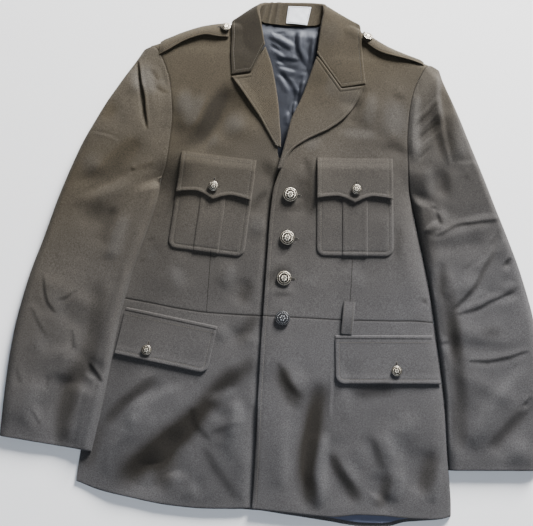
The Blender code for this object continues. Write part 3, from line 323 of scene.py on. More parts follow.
BODY_CREASES = (
    (-10, -156, -50, -189, 14, -4.7), (-79, -231), (-125, -281, 19, -6.1), (-172, -322),
    (-199, -352), (-156, -190, -186, -217, 9, -3), (-214, -243), (-229, -267),
    (-232, -255, -243, -297, 11, -2.4), (-251, -339), (-106, -292, -133, -331, 15, -3.4),
    (-122, -363), (-115, -195, -172, -225, 9, 2.2), (-194, -265),
    (-27, -211, -28, -261, 12, 2.7), (-37, -312), (97, -183, 87, -244, 14, -5.4), (83, -307),
    (95, -365), (108, -255, 107, -305, 9, 4.1), (108, -364), (27, -157, 50, -197, 11, -3),
    (67, -224), (113, -280, 141, -320, 10, -3.4), (163, -356), (205, -303, 198, -345, 9, -2.7),
    (184, -360), (272, -265, 263, -307, 11, -3), (258, -341), (231, -212, 216, -273, 13, 2.2),
    (227, -322), (39, 2, 18, -22, 12, -2.2), (6, -45), (-82, 283, -105, 229, 13, -3.8),
    (-138, 166, 12, -3.8), (-52, 242, -80, 194, 16, 2.4), (-145, 273, -149, 217, 12, 2.2),
    (126, 276, 119, 243, 12, -2.7), (38, 144, 54, 117, 12, -2.2), (65, 72),
    (-13, 168, 8, 123, 12, -2.4), (158, 189, 175, 200, 10, -1.9), (184, 284, 192, 200, 18, 2.2),
    (175, 200, 202, 211, 10, -1.9), (-82, 273, -103, 226, 11.6, -2.3), (-121, 176),
    (-115, 266, -142, 198, 12, 1.9), (-149, 217, -159, 179, 10.2, -1.4),
    (-95, 208, -109, 171, 10.2, 1.4), (-173, 119, -167, 125, 4.6, -0.8),
    (-172, 70, -182, 58, 4.1, -1), (-189, 23, -175, 27, 3, -1.4),
    (-197, -6, -189, -16, 4.1, -2), (-185, 12, -171, -12, 7, 1), (-9, 112, -31, 72, 5.8, -1.5),
    (-12, 75, -28, 35, 10.2, 1.4), (-149, -11, -121, -53, 10, 1.6),
    (-24, -25, -34, -75, 10.2, -2.3), (-52, -4, -56, -51, 9, 1.6),
    (-215, -84, -195, -91, 4.1, -1.1), (-4, -78, -28, -115, 10.2, -2.1),
    (-31, -139, 11.6, -1.8), (-52, -97, -59, -133, 9, 1.6), (-14, -156, -52, -165, 11.6, 1.6),
    (-27, -196, -78, -218, 9, 2.2), (-97, -226, -89, -257, 5.8, -1.1), (-64, -276, 5.8, -1.5),
    (-21, -245, -65, -266, 5.8, -1.3), (-77, -235, -41, -252, 11.6, 2.1),
    (-21, -214, -33, -274, 9, 2.4), (-218, -338, -209, -292, 7, 1.3), (-184, -245, 7, 1.5),
    (-161, -231, -201, -286, 10, 1.6), (-74, -290, -44, -329, 7, -1.1), (-18, -361, 7, -1),
    (-59, -285, -30, -318, 10.2, 1.6), (-94, -334, -74, -365, 9, 1.9),
    (0, -224, 7, -363, 5.2, -1.5), (-15, -231, -8, -360, 10.2, 1.6),
    (137, 292, 118, 228, 5.8, -1.3), (181, 289, 201, 270, 7, -1.1),
    (152, 285, 146, 222, 10, 1.6), (169, 199, 213, 191, 7, -1.2), (102, 215, 165, 213, 9, 1.4),
    (49, 171, 59, 144, 7, -1.5), (56, 115, 7, -1.3), (40, 185, 80, 204, 11.6, 1.4),
    (25, 82, 54, 94, 7, -1.1), (202, 70, 203, 15, 7, -1.2), (187, 87, 187, 24, 7, 0.8),
    (11, -53, 47, -47, 5.8, -1), (240, -37, 254, -49, 4.6, -1.5), (54, -31, 81, -11, 11.6, 1.1),
    (129, 8, 156, -33, 10, 1.4), (25, -154, 57, -194, 5.8, -1.4), (74, -206, 5.8, -1.2),
    (47, -158, 73, -189, 11.6, 1.5), (49, -239, 50, -342, 9, 1.9),
    (134, -286, 166, -328, 10.2, 2.1), (178, -252, 190, -290, 7, -1.6), (204, -304, 5.8, -1.3),
    (198, -243, 212, -289, 9, 2), (159, -255, 171, -304, 11.6, 1.6),
    (287, -284, 279, -349, 7, 1.6), (111, -164, 115, -229, 2.2, 1.2),
    (143, -190, 216, -179, 10.2, -1.7), (227, -300, 221, -351, 9, 1.9),
    (123, -146, 146, -232, 9, 1.4),
)
LINING_CREASES = (
    (-8, 329, 6, 324, 2.5, 2.2), (-16, 376, 8, 381, 3, -2.2), (-20, 379, 21, 358, 3.5, 2.6),
    (-23, 369, 14, 349, 3.5, -2.2), (23, 385, 24, 358, 3.5, -2.6), (34, 335), (43, 324, 3, -2),
    (33, 385, 33, 357, 4, 2.4), (45, 334), (-20, 361, -4, 345, 3, -2.4),
    (-16, 352, 5, 335, 3, 2), (-9, 335, 28, 332, 3, -2.2), (-5, 321, 26, 313, 3.5, 2.4),
    (4, 310, 26, 282, 3.2, -2.6), (17, 246, 3.2, -2.4), (-1, 308, 17, 279, 3.5, 2.2),
    (12, 305, 34, 280, 3.5, 2.2), (36, 306, 32, 270, 3.2, -2.4), (25, 247, 3, -2),
    (42, 314, 38, 273, 3.5, 2.2), (22, 252, 26, 221, 2.5, -2.8), (17, 245, 21, 222, 3, 2),
    (29, 266, 28, 233, 3, 2), (48, 369, 43, 317, 3.5, -2.4), (54, 379, 52, 332, 4, 2),
    (45, 321, 38, 293, 3.5, -2), (184, -370, 193, -375, 4, 1.5),
    (202, -370, 211, -375, 4, -1.5), (166, -370, 175, -375, 4, 1.2),
)


# ------------------------------------------------------------ curves and heights
def smooth(t):
    """Soft step from 0 to 1: 3 t squared less 2 t cubed."""
    t = np.clip(t, 0.0, 1.0)
    return t * t * (3.0 - 2.0 * t)


def bell(distance, width):
    """Bell curve: e to the power of minus the squared share of the width."""
    return np.exp(-((distance / width) ** 2))


def round_edge(distance, width):
    """Quarter of an ellipse: upright at the edge, level after the given width."""
    return np.sqrt(1.0 - (1.0 - np.clip(distance / width, 0.0, 1.0)) ** 2)


def read_rows(table, stations):
    """Rows of a table read smoothly at stations, 0 the first row and 1 the last.

    Stations follow the length along the first two columns. Each stretch is a cubic,
    and its slope at a row is the harmonic mean of the slopes on both sides, or level
    where they turn round, so that no value runs past its rows.
    """
    table = np.array(table, dtype=float)
    steps = np.linalg.norm(np.diff(table[:, :2], axis=0), axis=1)
    knots = np.concatenate(([0.0], np.cumsum(steps))) / steps.sum()
    rates = np.diff(table, axis=0) / np.diff(knots)[:, None]
    turns = rates[:-1] * rates[1:] <= 0.0
    sums = np.where(turns, 1.0, rates[:-1] + rates[1:])
    slopes = np.concatenate(
        (rates[:1], np.where(turns, 0.0, 2.0 * rates[:-1] * rates[1:] / sums), rates[-1:])
    )
    stations = np.asarray(stations, dtype=float)
    row = np.clip(np.searchsorted(knots, stations, side="right") - 1, 0, len(knots) - 2)
    span = (knots[row + 1] - knots[row])[:, None]
    t = ((stations - knots[row])[:, None]) / span
    start, end = table[row], table[row + 1]
    return (
        (2 * t**3 - 3 * t**2 + 1) * start
        + (t**3 - 2 * t**2 + t) * span * slopes[row]
        + (3 * t**2 - 2 * t**3) * end
        + (t**3 - t**2) * span * slopes[row + 1]
    )


FINE = np.linspace(0.0, 1.0, 400)
BODY_CURVE = read_rows(BODY_LEVELS, FINE)
SHOULDER_CURVE = read_rows(SHOULDER_LINE, FINE)
LOWER_CURVE = read_rows(LOWER_SEAMS, FINE)
INNER_CURVES = {"right": read_rows(RIGHT_INNER, FINE), "left": read_rows(LEFT_INNER, FINE)}


def right_edge(y):
    return np.interp(y, BODY_CURVE[:, 0], BODY_CURVE[:, 1])


def left_edge(y):
    return np.interp(y, BODY_CURVE[:, 0], BODY_CURVE[:, 2])


def inner_edge(side, y):
    """x of a front's edge at the opening."""
    return np.interp(y, INNER_CURVES[side][:, 0], INNER_CURVES[side][:, 1])


def shoulder_y(x):
    return np.interp(x, SHOULDER_CURVE[:, 0], SHOULDER_CURVE[:, 1])


def seam_y(x, column):
    """Column 1 is the waist seam, 2 the front hem and 3 the back hem."""
    return np.interp(x, LOWER_CURVE[:, 0], LOWER_CURVE[:, column])


def folds(x, y, table):
    """Sum of soft ridges: a bell across each fold, which fades towards its two ends.
    Half of its height is taken here, because the creases carry the rest."""
    height = np.zeros(np.shape(x))
    for start_x, start_y, end_x, end_y, width, rise in table:
        run_x, run_y = end_x - start_x, end_y - start_y
        length = math.hypot(run_x, run_y)
        along = ((x - start_x) * run_x + (y - start_y) * run_y) / length**2
        across = ((x - start_x) * run_y - (y - start_y) * run_x) / length
        ends = smooth((along + 0.15) / 0.4) * smooth((1.15 - along) / 0.4)
        height = height + 0.5 * rise * bell(across, width) * ends
    return height


def crease_paths(table):
    """Creases as lists of (x, y, half width, tone). A row with both ends starts one, and
    a shorter row carries it on."""
    paths = []
    for row in table:
        if len(row) == 6:
            paths.append([row[:2] + row[4:], row[2:]])
        else:
            paths[-1].append(row[:2] + (row[2:] or paths[-1][-1][2:]))
    return paths


def crest(distance):
    """Ridge with a narrow round top, the power of e to minus the distance: it falls fast
    where the distance is negative, and half as fast beyond."""
    share = np.where(distance < 0.0, distance / 0.8, distance / 1.6)
    return np.exp(0.2 - np.sqrt(share**2 + 0.04))


def blended(lattice, row, column, s, t):
    """The four lattice values around a place, blended by its shares s across and t up."""
    low = lattice[row, column] * (1 - s) + lattice[row, column + 1] * s
    high = lattice[row + 1, column] * (1 - s) + lattice[row + 1, column + 1] * s
    return low * (1 - t) + high * t


def soft_noise(x, y, scale, seed):
    """Value noise: random heights on a square lattice, blended by soft steps."""
    lattice = np.random.default_rng(seed).uniform(-1.0, 1.0, (256, 256))
    u, v = x / scale + 128.0, y / scale + 128.0
    column, row = np.floor(u).astype(int) % 255, np.floor(v).astype(int) % 255
    return blended(lattice, row, column, smooth(u - np.floor(u)), smooth(v - np.floor(v)))


def softened(values, rounds):
    """Values blended with their neighbours, half and a quarter each, along both axes."""
    for _ in range(rounds):
        values[1:-1] = 0.5 * values[1:-1] + 0.25 * (values[2:] + values[:-2])
        values[:, 1:-1] = 0.5 * values[:, 1:-1] + 0.25 * (values[:, 2:] + values[:, :-2])
    return values


class Relief:
    """Creases and unevenness of one part of the tunic, kept as heights and as tones (the
    shade and light painted into the cloth's colour along them) on a fine square lattice,
    and read by blending the four lattice points around a place."""

    STEP = 1.6

    def __init__(self, table, low, high, seed, uneven=0.55):
        self.low = np.array(low, dtype=float)
        counts = ((np.array(high) - self.low) / self.STEP).astype(int) + 1
        x = self.low[0] + self.STEP * np.arange(counts[0])[None, :]
        y = self.low[1] + self.STEP * np.arange(counts[1])[:, None]
        x, y = x + 0.0 * y, y + 0.0 * x
        wander = 2.2 * soft_noise(x, y, 31.0, seed + 5), 2.2 * soft_noise(x, y, 27.0, seed + 6)
        self.heights, self.tones = np.zeros(x.shape), np.zeros(x.shape)
        for path in crease_paths(table):
            self.press(np.array(path, dtype=float), x + wander[0], y + wander[1])
        self.heights += uneven * soft_noise(x, y, 57.0, seed)
        self.heights += 0.35 * uneven * soft_noise(x, y, 23.0, seed + 1)

    def press(self, path, x, y):
        """Add one crease. A dark one, with a negative tone, climbs towards the light over
        its width, from a valley to a crest, and a bright one falls. Where it runs along
        the light it is a plain valley or crest. Its tone, the painted shade or painted light
        of the band, is level over the band, with soft sides, and both fade at its ends, like
        the root of a parabola."""
        length = np.linalg.norm(np.diff(path[:, :2], axis=0), axis=1).sum()
        path = read_rows(path, np.linspace(0.0, 1.0, max(6, int(length / 4.0))))
        reach = 4.0 * path[:, 2].max() + 4.0
        first = np.maximum((path[:, :2].min(0) - reach - self.low) / self.STEP, 0).astype(int)
        last = np.maximum((path[:, :2].max(0) + reach - self.low) / self.STEP, 0).astype(int)
        window = slice(first[1], last[1]), slice(first[0], last[0])
        x, y = x[window], y[window]
        near = ((x[..., None] - path[:, 0]) ** 2 + (y[..., None] - path[:, 1]) ** 2).argmin(axis=2)
        run = np.gradient(path[:, :2], axis=0)
        step = np.linalg.norm(run, axis=1)
        run_x, run_y = (run / step[:, None])[near].transpose(2, 0, 1)
        off_x, off_y = x - path[near, 0], y - path[near, 1]
        along = (near + (off_x * run_x + off_y * run_y) / step[near]) / (len(path) - 1)
        fade = np.clip(4.0 * (along + 0.06) * (1.06 - along) / 1.12**2, 0.0, 1.0) ** 0.45
        inside = np.minimum(along + 0.06, 1.06 - along) * length / path[near, 2]
        fade = fade * smooth(inside / 2.2)
        facing = run_y * TO_LIGHT[0] - run_x * TO_LIGHT[1]
        across = (off_x * run_y - off_y * run_x) * np.sign(facing)
        share = across / (path[near, 2] * (0.6 + 0.4 * fade))
        warm_light_side = np.sqrt(np.abs(facing))
        climb = crest(share - 0.7) - crest(-share - 0.7)
        plain = np.exp(0.5 - np.sqrt(share**2 + 0.25))
        shape = ((1.0 - warm_light_side) * plain - warm_light_side * climb) * smooth((4.0 - np.abs(share)) / 2.0)
        even = np.clip((0.5 / np.maximum(np.abs(facing), 0.1)) ** 0.7, 0.5, 1.5)
        tone = 1.1 * path[near, 3] * smooth((1.6 - np.abs(share)) / 1.25) * fade
        rounds = int(2.0 * (0.3 * path[:, 2].max() / self.STEP) ** 2)
        self.heights[window] += softened(path[near, 3] * shape * fade * even, rounds)
        self.tones[window] += softened(tone, rounds // 2)

    def tone(self, x, y):
        return self(x, y, self.tones)

    def __call__(self, x, y, lattice=None):
        values = self.heights if lattice is None else lattice
        rows, columns = values.shape
        u = np.clip((x - self.low[0]) / self.STEP, 0.0, columns - 1.001)
        v = np.clip((y - self.low[1]) / self.STEP, 0.0, rows - 1.001)
        column, row = np.floor(u).astype(int), np.floor(v).astype(int)
        return blended(values, row, column, u - column, v - row)


BODY_RELIEF = Relief(BODY_CREASES, (-280, -400), (320, 410), 11)
SLEEVE_RELIEF = {
    "right": Relief(RIGHT_SLEEVE_CREASES, (-400, -320), (-150, 350), 23),
    "left": Relief(LEFT_SLEEVE_CREASES, (195, -310), (450, 350), 37),
}
LINING_RELIEF = Relief(LINING_CREASES, (-280, -400), (320, 410), 51, uneven=0.8)


def back_rise(x, y, reach=0.0):
    """The back lifts off the floor where the fall of the collar runs below it. What
    lies on the back lifts a little sooner, by its reach."""
    right, left = FALL_BELOW
    across = smooth((x - right + reach) / 25.0) * smooth((left + reach - x) / 25.0)
    return (LEAF + GAP + 0.3) * smooth((y - 325.0 + reach) / 45.0) * across


def body_top(x, y):
    """Height of the outer face of the fronts: a crown that rolls down to the back
    along both sides and the shoulder line, and stays open at the armholes."""
    crown = np.interp(y, BODY_CURVE[:, 0], BODY_CURVE[:, 3])
    neck = bell(x - NECK_MIDDLE, 95.0) * smooth((y - 150.0) / 150.0)
    crown = crown - NECK_HOLLOW * neck + folds(x, y, BODY_FOLDS)
    crown = np.maximum(crown + BODY_RELIEF(x, y), RIM + 2.0)
    armhole = smooth((y - ARMPIT) / 70.0)
    left = round_edge(left_edge(y) - x, LEFT_ROUND)
    right = smooth((x - right_edge(y)) / RIGHT_PRESS)
    left = left + (1.0 - left) * armhole
    right = right + (1.0 - right) * armhole
    top = round_edge(0.9 * (shoulder_y(x) - y), SHOULDER_ROUND)
    rim = RIM + back_rise(x, y, 14.0)
    pressed = (RIM_FLAT - RIM) / (crown - RIM)
    right = pressed + (1.0 - pressed) * right
    return rim + (crown - rim) * left * right * top


def left_top(x, y):
    """The left front lies on the right one, so it is raised along their overlap."""
    lap = smooth((118.0 - x) / 55.0) * smooth((255.0 - y) / 115.0)
    crossing = np.exp(-(((x - 18.0) / 60.0) ** 2) - ((y - 160.0) / 70.0) ** 2)
    return body_top(x, y) + LAP_LIFT * lap + CROSSING_LIFT * crossing


def side_top(side):
    return left_top if side == "left" else body_top


def shoulder_or_body(x, y):
    """Height under the collar: the left front's on the left and the right front's on
    the right of the neck."""
    return np.where(x > CENTRE[0], left_top(x, y), body_top(x, y))


# ------------------------------------------------------------ grids and walls
SURFACES = {}                       # outer face and normals of each cloth piece, by name


def spaced(length, start, end, pitch, multiple=4):
    """Distances from 0 to length: the given offsets beside each end and even steps
    between them. The wall's inner face needs a multiple of four steps, and each half of
    a symmetric row a multiple of two."""
    first, last = (start[-1] if start else 0.0), (end[-1] if end else 0.0)
    fixed = len(start) + len(end)
    free = max(1, round((length - first - last) / pitch))
    free += -(free + fixed) % multiple
    middle = np.linspace(first, length - last, free + 1)
    head = [0.0, *start[:-1]] if start else []
    tail = [length - d for d in reversed([0.0, *end[:-1]])] if end else []
    return np.array([*head, *middle, *tail])


def run_lengths(line):
    """Length of a line up to each of its points."""
    return np.concatenate(([0.0], np.cumsum(np.linalg.norm(np.diff(line, axis=0), axis=1))))


def coons(inner, outer, bottom, top, u, v):
    """Plan grid that fills four edge curves, blended by the shares u across and v up:
    the two ruled surfaces less the one through the corners."""
    u, v = u[None, :, None], v[:, None, None]
    blend = (1 - u) * inner[:, None] + u * outer[:, None] + (1 - v) * bottom[None] + v * top[None]
    corners = (
        (1 - u) * (1 - v) * bottom[0] + u * (1 - v) * bottom[-1]
        + (1 - u) * v * top[0] + u * v * top[-1]
    )
    return blend - corners


def with_height(plan, height):
    return np.concatenate((plan, height[..., None]), axis=-1)


def grid_normals(points, upper):
    """Unit normals: the cross product of the grid's two directions, turned so that the
    one at the named cell points up."""
    along, across = np.gradient(points, axis=(0, 1))
    normals = np.cross(across, along)
    normals /= np.maximum(np.linalg.norm(normals, axis=2), 1e-9)[..., None]
    return normals if normals[upper][2] >= 0.0 else -normals


def grid_lengths(points):
    """Distance run along the rows and along the columns up to every grid point."""
    across = np.linalg.norm(np.diff(points, axis=1), axis=2)
    along = np.linalg.norm(np.diff(points, axis=0), axis=2)
    across = np.concatenate((np.zeros((len(points), 1)), np.cumsum(across, axis=1)), axis=1)
    along = np.concatenate((np.zeros((1, points.shape[1])), np.cumsum(along, axis=0)), axis=0)
    return across, along


def side_distance(points, sides):
    """Distance of every grid point from the nearest of the named sides of the grid."""
    across, along = grid_lengths(points)
    by_side = {
        "start": across, "end": across[:, -1:] - across, "low": along, "high": along[-1:] - along,
    }
    return np.min([by_side[side] for side in sides], axis=0)


def edge_relief(distance, stitched):
    """Turned edge: a quarter circle at the rim, then a slight puff, then the dip that
    the topstitching pulls."""
    drop = -TURN * (1.0 - round_edge(distance, TURN)) * 0.85
    puff = EDGE_PUFF * bell(distance - 0.5 * STITCH_IN, 0.3 * STITCH_IN)
    dip = -STITCH_DIP * bell(distance - STITCH_IN, STITCH_REACH)
    return drop + (puff + dip if stitched else 0.5 * puff)


def boundary(rows, columns):
    """Indices round the rim of a grid, in the turning sense of its first row."""
    first = np.arange(rows * columns).reshape(rows, columns)
    return np.concatenate((first[0, :-1], first[:-1, -1], first[-1, :0:-1], first[:0:-1, 0]))


def grid_quads(rows, columns):
    first = np.arange(rows * columns).reshape(rows, columns)
    quads = np.stack((first[:-1, :-1], first[:-1, 1:], first[1:, 1:], first[1:, :-1]), axis=-1)
    return quads.reshape(-1, 4)


def finish_mesh(name, points, faces, finish, uv=None, smooth_angle=50.0):
    """Mesh object in metres, with its UV map and its smooth faces."""
    mesh = bpy.data.meshes.new(name)
    mesh.from_pydata(((points - CENTRE) * MM).tolist(), [], faces)
    if uv is not None:
        corner = np.empty(len(mesh.loops), dtype=np.int32)
        mesh.loops.foreach_get("vertex_index", corner)
        layer = mesh.uv_layers.new(name="Cloth")
        layer.data.foreach_set("uv", (uv[corner] * MM).ravel().astype(np.float32))
    mesh.shade_smooth()
    mesh.set_sharp_from_angle(angle=math.radians(smooth_angle))
    mesh.materials.append(finish)
    made = bpy.data.objects.new(name, mesh)
    bpy.context.scene.collection.objects.link(made)
    return made


def cloth_wall(name, face, thickness, finish, turned=(), stitched=(), seams=(), upper=None,
               grow=-1, nap=None, rim=None, shade=0.0):
    """Closed wall on a grid of points, and the finished outer face with its normals.

    The wall hangs below the grid when grow is -1 and stands on it when grow is +1. Its
    inner face takes every fourth grid line. Turned sides are rounded, stitched ones
    also carry the dip of their topstitching, and seams sink towards the gap. The
    attribute edge carries painted light and shade: 1 is a painted highlight along a
    turned or stitched edge, also at the given distances from the rim, and -1 is painted
    shade in a seam or where the shade is 1.
    """
    rows, columns = face.shape[:2]
    upper = upper or (rows // 2, columns // 2)
    normals = grid_normals(face, upper)
    outer = face + normals * thickness if grow > 0 else face
    inner = outer - normals * thickness
    shape = np.zeros((rows, columns))
    # painted highlight (positive) along rims and turned or stitched edges, painted shade (negative)
    # in seams and where shade is given
    marks = (shape if rim is None else bell(rim - RIM_HIGHLIGHT_IN, RIM_HIGHLIGHT_IN)) - shade
    for sides, sewn in ((turned, False), (stitched, True)):
        if sides:
            distance = side_distance(outer, sides)
            shape = shape + edge_relief(distance, sewn)
            marks = np.maximum(marks, bell(distance - RIM_HIGHLIGHT_IN, RIM_HIGHLIGHT_IN))
    if seams:
        distance = side_distance(outer, seams)
        shape = shape - SEAM_DIP * bell(distance, SEAM_REACH)
        marks = marks - bell(distance, SEAM_SHADE)
    outer = outer + normals * shape[..., None]
    outer[..., 2] = np.maximum(outer[..., 2], 0.0)
    inner = inner[::4, ::4]
    row, column = upper
    over, along = face[row, column + 1] - face[upper], face[row + 1, column] - face[upper]
    flip = np.cross(over, along)[2] < 0
    quads, back = grid_quads(rows, columns), grid_quads(*inner.shape[:2])
    rim_out, rim_in = boundary(rows, columns), boundary(*inner.shape[:2])
    if flip:
        quads, back, rim_out, rim_in = quads[:, ::-1], back[:, ::-1], rim_out[::-1], rim_in[::-1]
        rim_out, rim_in = np.roll(rim_out, 1), np.roll(rim_in, 1)
    count = rows * columns
    fan = rim_out[(np.arange(len(rim_in))[:, None] * 4 + np.arange(4, -1, -1)) % len(rim_out)]
    inward = np.stack((rim_in, np.roll(rim_in, -1)), axis=1) + count
    rim = np.concatenate((fan, inward), axis=1)
    faces = quads.tolist() + (back[:, ::-1] + count).tolist() + rim.tolist()
    across, along = grid_lengths(outer)
    uv = np.stack((across, along), axis=-1)
    SURFACES[name] = outer, grid_normals(outer, upper)
    points = np.concatenate((outer.reshape(-1, 3), inner.reshape(-1, 3)))
    uv = np.concatenate((uv.reshape(-1, 2), uv[::4, ::4].reshape(-1, 2)))
    made = finish_mesh(name, points, faces, finish, uv)
    for key, value in (("nap", np.zeros((rows, columns)) if nap is None else nap), ("edge", marks)):
        keep_value(made, key, np.concatenate((value.ravel(), value[::4, ::4].ravel())))
    return made, *SURFACES[name]


def keep_value(made, name, values):
    """A number at every point of a mesh, for its material to read."""
    layer = made.data.attributes.new(name, "FLOAT", "POINT")
    layer.data.foreach_set("value", values.astype(np.float32))


def attach(made, slot, *nodes):
    """The nodes that a piece stands for, which are hidden, and its body. Its slot is not used."""
    if nodes:
        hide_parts(*nodes)
    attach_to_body(made, "root")
    return made


def declare(made, node, slot, outer):
    """Cloth facts of a sheet are worked out but not kept: its flat size is the longest row
    and column of the outer face, and its flat area is the face's own. The sheet is only
    attached for its node."""
    across, along = grid_lengths(outer)
    du, dv = np.diff(outer, axis=1)[:-1], np.diff(outer, axis=0)[:, :-1]
    area = np.linalg.norm(np.cross(du, dv), axis=2).sum() * MM * MM
    width, length = across[:, -1].max() * MM, along[-1].max() * MM
    area = float(np.clip(area, 0.31 * width * length, width * length))
    attach(made, slot, node)


def stitches(name, lines, finish, spacing, length, radius):
    """Thread dashes that lie on the cloth, one for each spacing along every line of
    (points, normals): a five-sided rod of four rings, thin and sunk at both ends. None
    lies within three radii of the floor."""
    centres, directions, uprights = [], [], []
    for points, normals in lines:
        run = run_lengths(points)
        count = int(run[-1] // spacing)
        if count < 2:
            continue
        middle = (np.arange(count) + 0.5) * run[-1] / count
        ends = [
            np.stack([np.interp(middle + s * length / 2, run, axis) for axis in points.T], axis=1)
            for s in (-1, 1)
        ]
        up = np.stack([np.interp(middle, run, axis) for axis in normals.T], axis=1)
        centres.append((ends[0] + ends[1]) / 2)
        directions.append(ends[1] - ends[0])
        uprights.append(up / np.linalg.norm(up, axis=1)[:, None])
    centre, run, up = (np.concatenate(parts) for parts in (centres, directions, uprights))
    clear = centre[:, 2] > 3.0 * radius
    centre, run, up = centre[clear], run[clear], up[clear]
    side = np.cross(run, up)
    side /= np.linalg.norm(side, axis=1)[:, None]
    turn = 2 * math.pi * np.arange(5) / 5
    shares = ((-0.5, 0.45, -0.35), (-0.25, 1.0, 0.5), (0.25, 1.0, 0.5), (0.5, 0.45, -0.35))
    round_it = np.cos(turn)[:, None] * side[:, None] + np.sin(turn)[:, None] * up[:, None]
    rings = [
        (centre + run * share + up * radius * lift)[:, None] + radius * size * round_it
        for share, size, lift in shares
    ]
    points = np.stack(rings, axis=1).reshape(-1, 3)
    ring, step = np.arange(3)[:, None] * 5, np.arange(5)[None, :]
    after = (step + 1) % 5
    walls = np.stack((ring + step, ring + after, ring + after + 5, ring + step + 5), axis=-1)
    first = 20 * np.arange(len(centre))[:, None]
    walls = (first[..., None] + walls.reshape(-1, 4)).reshape(-1, 4)
    caps = np.concatenate((first + np.arange(4, -1, -1), first + np.arange(15, 20)))
    attach(finish_mesh(name, points, walls.tolist() + caps.tolist(), finish), "wool")


def inset_line(points, normals, side, distance):
    """Points and normals of the line that runs beside one side of a grid, at a distance
    from it that is measured on the cloth."""
    turned_to = {
        "start": lambda grid: grid, "end": lambda grid: grid[:, ::-1],
        "low": lambda grid: grid.swapaxes(0, 1), "high": lambda grid: grid.swapaxes(0, 1)[:, ::-1],
    }[side]
    points, normals = turned_to(points), turned_to(normals)
    across = grid_lengths(points)[0]
    after = np.clip(np.argmax(across >= distance, axis=1), 1, points.shape[1] - 1)
    row, before = np.arange(len(points)), after - 1
    span = across[row, after] - across[row, before]
    t = np.clip((distance - across[row, before]) / np.maximum(span, 1e-6), 0.0, 1.0)[:, None]
    return tuple(grid[row, before] * (1 - t) + grid[row, after] * t for grid in (points, normals))


def sewn_lines(outer, normals, sides, distance=STITCH_IN):
    """Stitching lines beside the named sides, each cut off where it meets the next."""
    lines = []
    clear = side_distance(outer, sides)
    for side in sides:
        points, up = inset_line(outer, normals, side, distance)
        room = inset_line(outer, np.repeat(clear[..., None], 3, axis=2), side, distance)[1][:, 0]
        kept = room > distance - 0.35
        if kept.sum() > 3:
            lines.append((points[kept], up[kept]))
    return lines


def plan_line_on(outer, normals, line):
    """Points and normals where a line drawn in plan lies on a cloth: the tangent plane of
    the nearest grid point gives the height."""
    line = np.asarray(line, dtype=float)
    run = run_lengths(line)
    at = np.linspace(0.0, run[-1], max(3, int(run[-1] / 1.2)))
    x, y = np.interp(at, run, line[:, 0]), np.interp(at, run, line[:, 1])
    flat, up = outer.reshape(-1, 3), normals.reshape(-1, 3)
    away = (flat[None, :, 0] - x[:, None]) ** 2 + (flat[None, :, 1] - y[:, None]) ** 2
    near = np.argmin(away, axis=1)
    spot, normal = flat[near], up[near]
    rise = ((x - spot[:, 0]) * normal[:, 0] + (y - spot[:, 1]) * normal[:, 1]) / normal[:, 2]
    return np.stack((x, y, spot[:, 2] - rise), axis=1), normal


def line_distance(x, y, line):
    """Plan distance from a polyline: the least of the distances to its segments."""
    line = np.asarray(line, dtype=float)
    least = np.full(np.shape(x), 1e9)
    for (ax, ay), (bx, by) in zip(line[:-1], line[1:]):
        run = (bx - ax) ** 2 + (by - ay) ** 2
        t = np.clip(((x - ax) * (bx - ax) + (y - ay) * (by - ay)) / max(run, 1e-9), 0.0, 1.0)
        least = np.minimum(least, np.hypot(x - ax - t * (bx - ax), y - ay - t * (by - ay)))
    return least


def offset_line(line, distance):
    """The line moved to its left, without the parts that run back on themselves."""
    line = np.asarray(line, dtype=float)
    run = np.gradient(line, axis=0)
    run /= np.linalg.norm(run, axis=1)[:, None]
    moved = line + distance * np.stack((-run[:, 1], run[:, 0]), axis=1)
    return moved[line_distance(moved[:, 0], moved[:, 1], line) > distance - 0.05]


def in_plan(local_x, local_y, centre_x, centre_y, degrees):
    """Plan places of points in a pocket's own frame, x across and y up from its top."""
    angle = math.radians(degrees)
    x = centre_x + local_x * math.cos(angle) - local_y * math.sin(angle)
    y = centre_y + local_x * math.sin(angle) + local_y * math.cos(angle)
    return x, y


# ------------------------------------------------------------ plans and heights
def front_plan(side, low, high, u, v):
    """Plan of a front between two levels, 'waist' to 'shoulder' or 'hem' to 'waist'."""
    edge = left_edge if side == "left" else right_edge

    def inner_x(y):
        return inner_edge(side, y)

    def level(x, name):
        if name == "shoulder":
            return shoulder_y(x)
        if name == "waist":
            return seam_y(x, 1) + (SEAM_GAP if low == "waist" else -SEAM_GAP)
        return seam_y(x, 2)

    def corner(side_x, name):
        y = 0.0
        for _ in range(12):
            y = float(level(side_x(y), name))
        return np.array((float(side_x(y)), y))

    inner_ends = [corner(inner_x, name) for name in (low, high)]
    if high == "shoulder":
        outer_tip = BODY_LEVELS[-2][2 if side == "left" else 1]
        tip = np.array((outer_tip, shoulder_y(outer_tip)))
    else:
        tip = corner(edge, high)
    outer_ends = [corner(edge, low), tip]
    inner_y = inner_ends[0][1] + (inner_ends[1][1] - inner_ends[0][1]) * v
    outer_y = outer_ends[0][1] + (outer_ends[1][1] - outer_ends[0][1]) * v
    inner = np.stack((inner_x(inner_y), inner_y), axis=1)
    outer = np.stack((edge(outer_y), outer_y), axis=1)
    ends = []
    for name, start, end in ((low, inner_ends[0], outer_ends[0]), (high, inner_ends[1], tip)):
        x = start[0] + (end[0] - start[0]) * u
        ends.append(np.stack((x, level(x, name)), axis=1))
    inner[0], inner[-1], outer[0], outer[-1] = ends[0][0], ends[1][0], ends[0][-1], ends[1][-1]
    return coons(inner, outer, ends[0], ends[1], u, v)


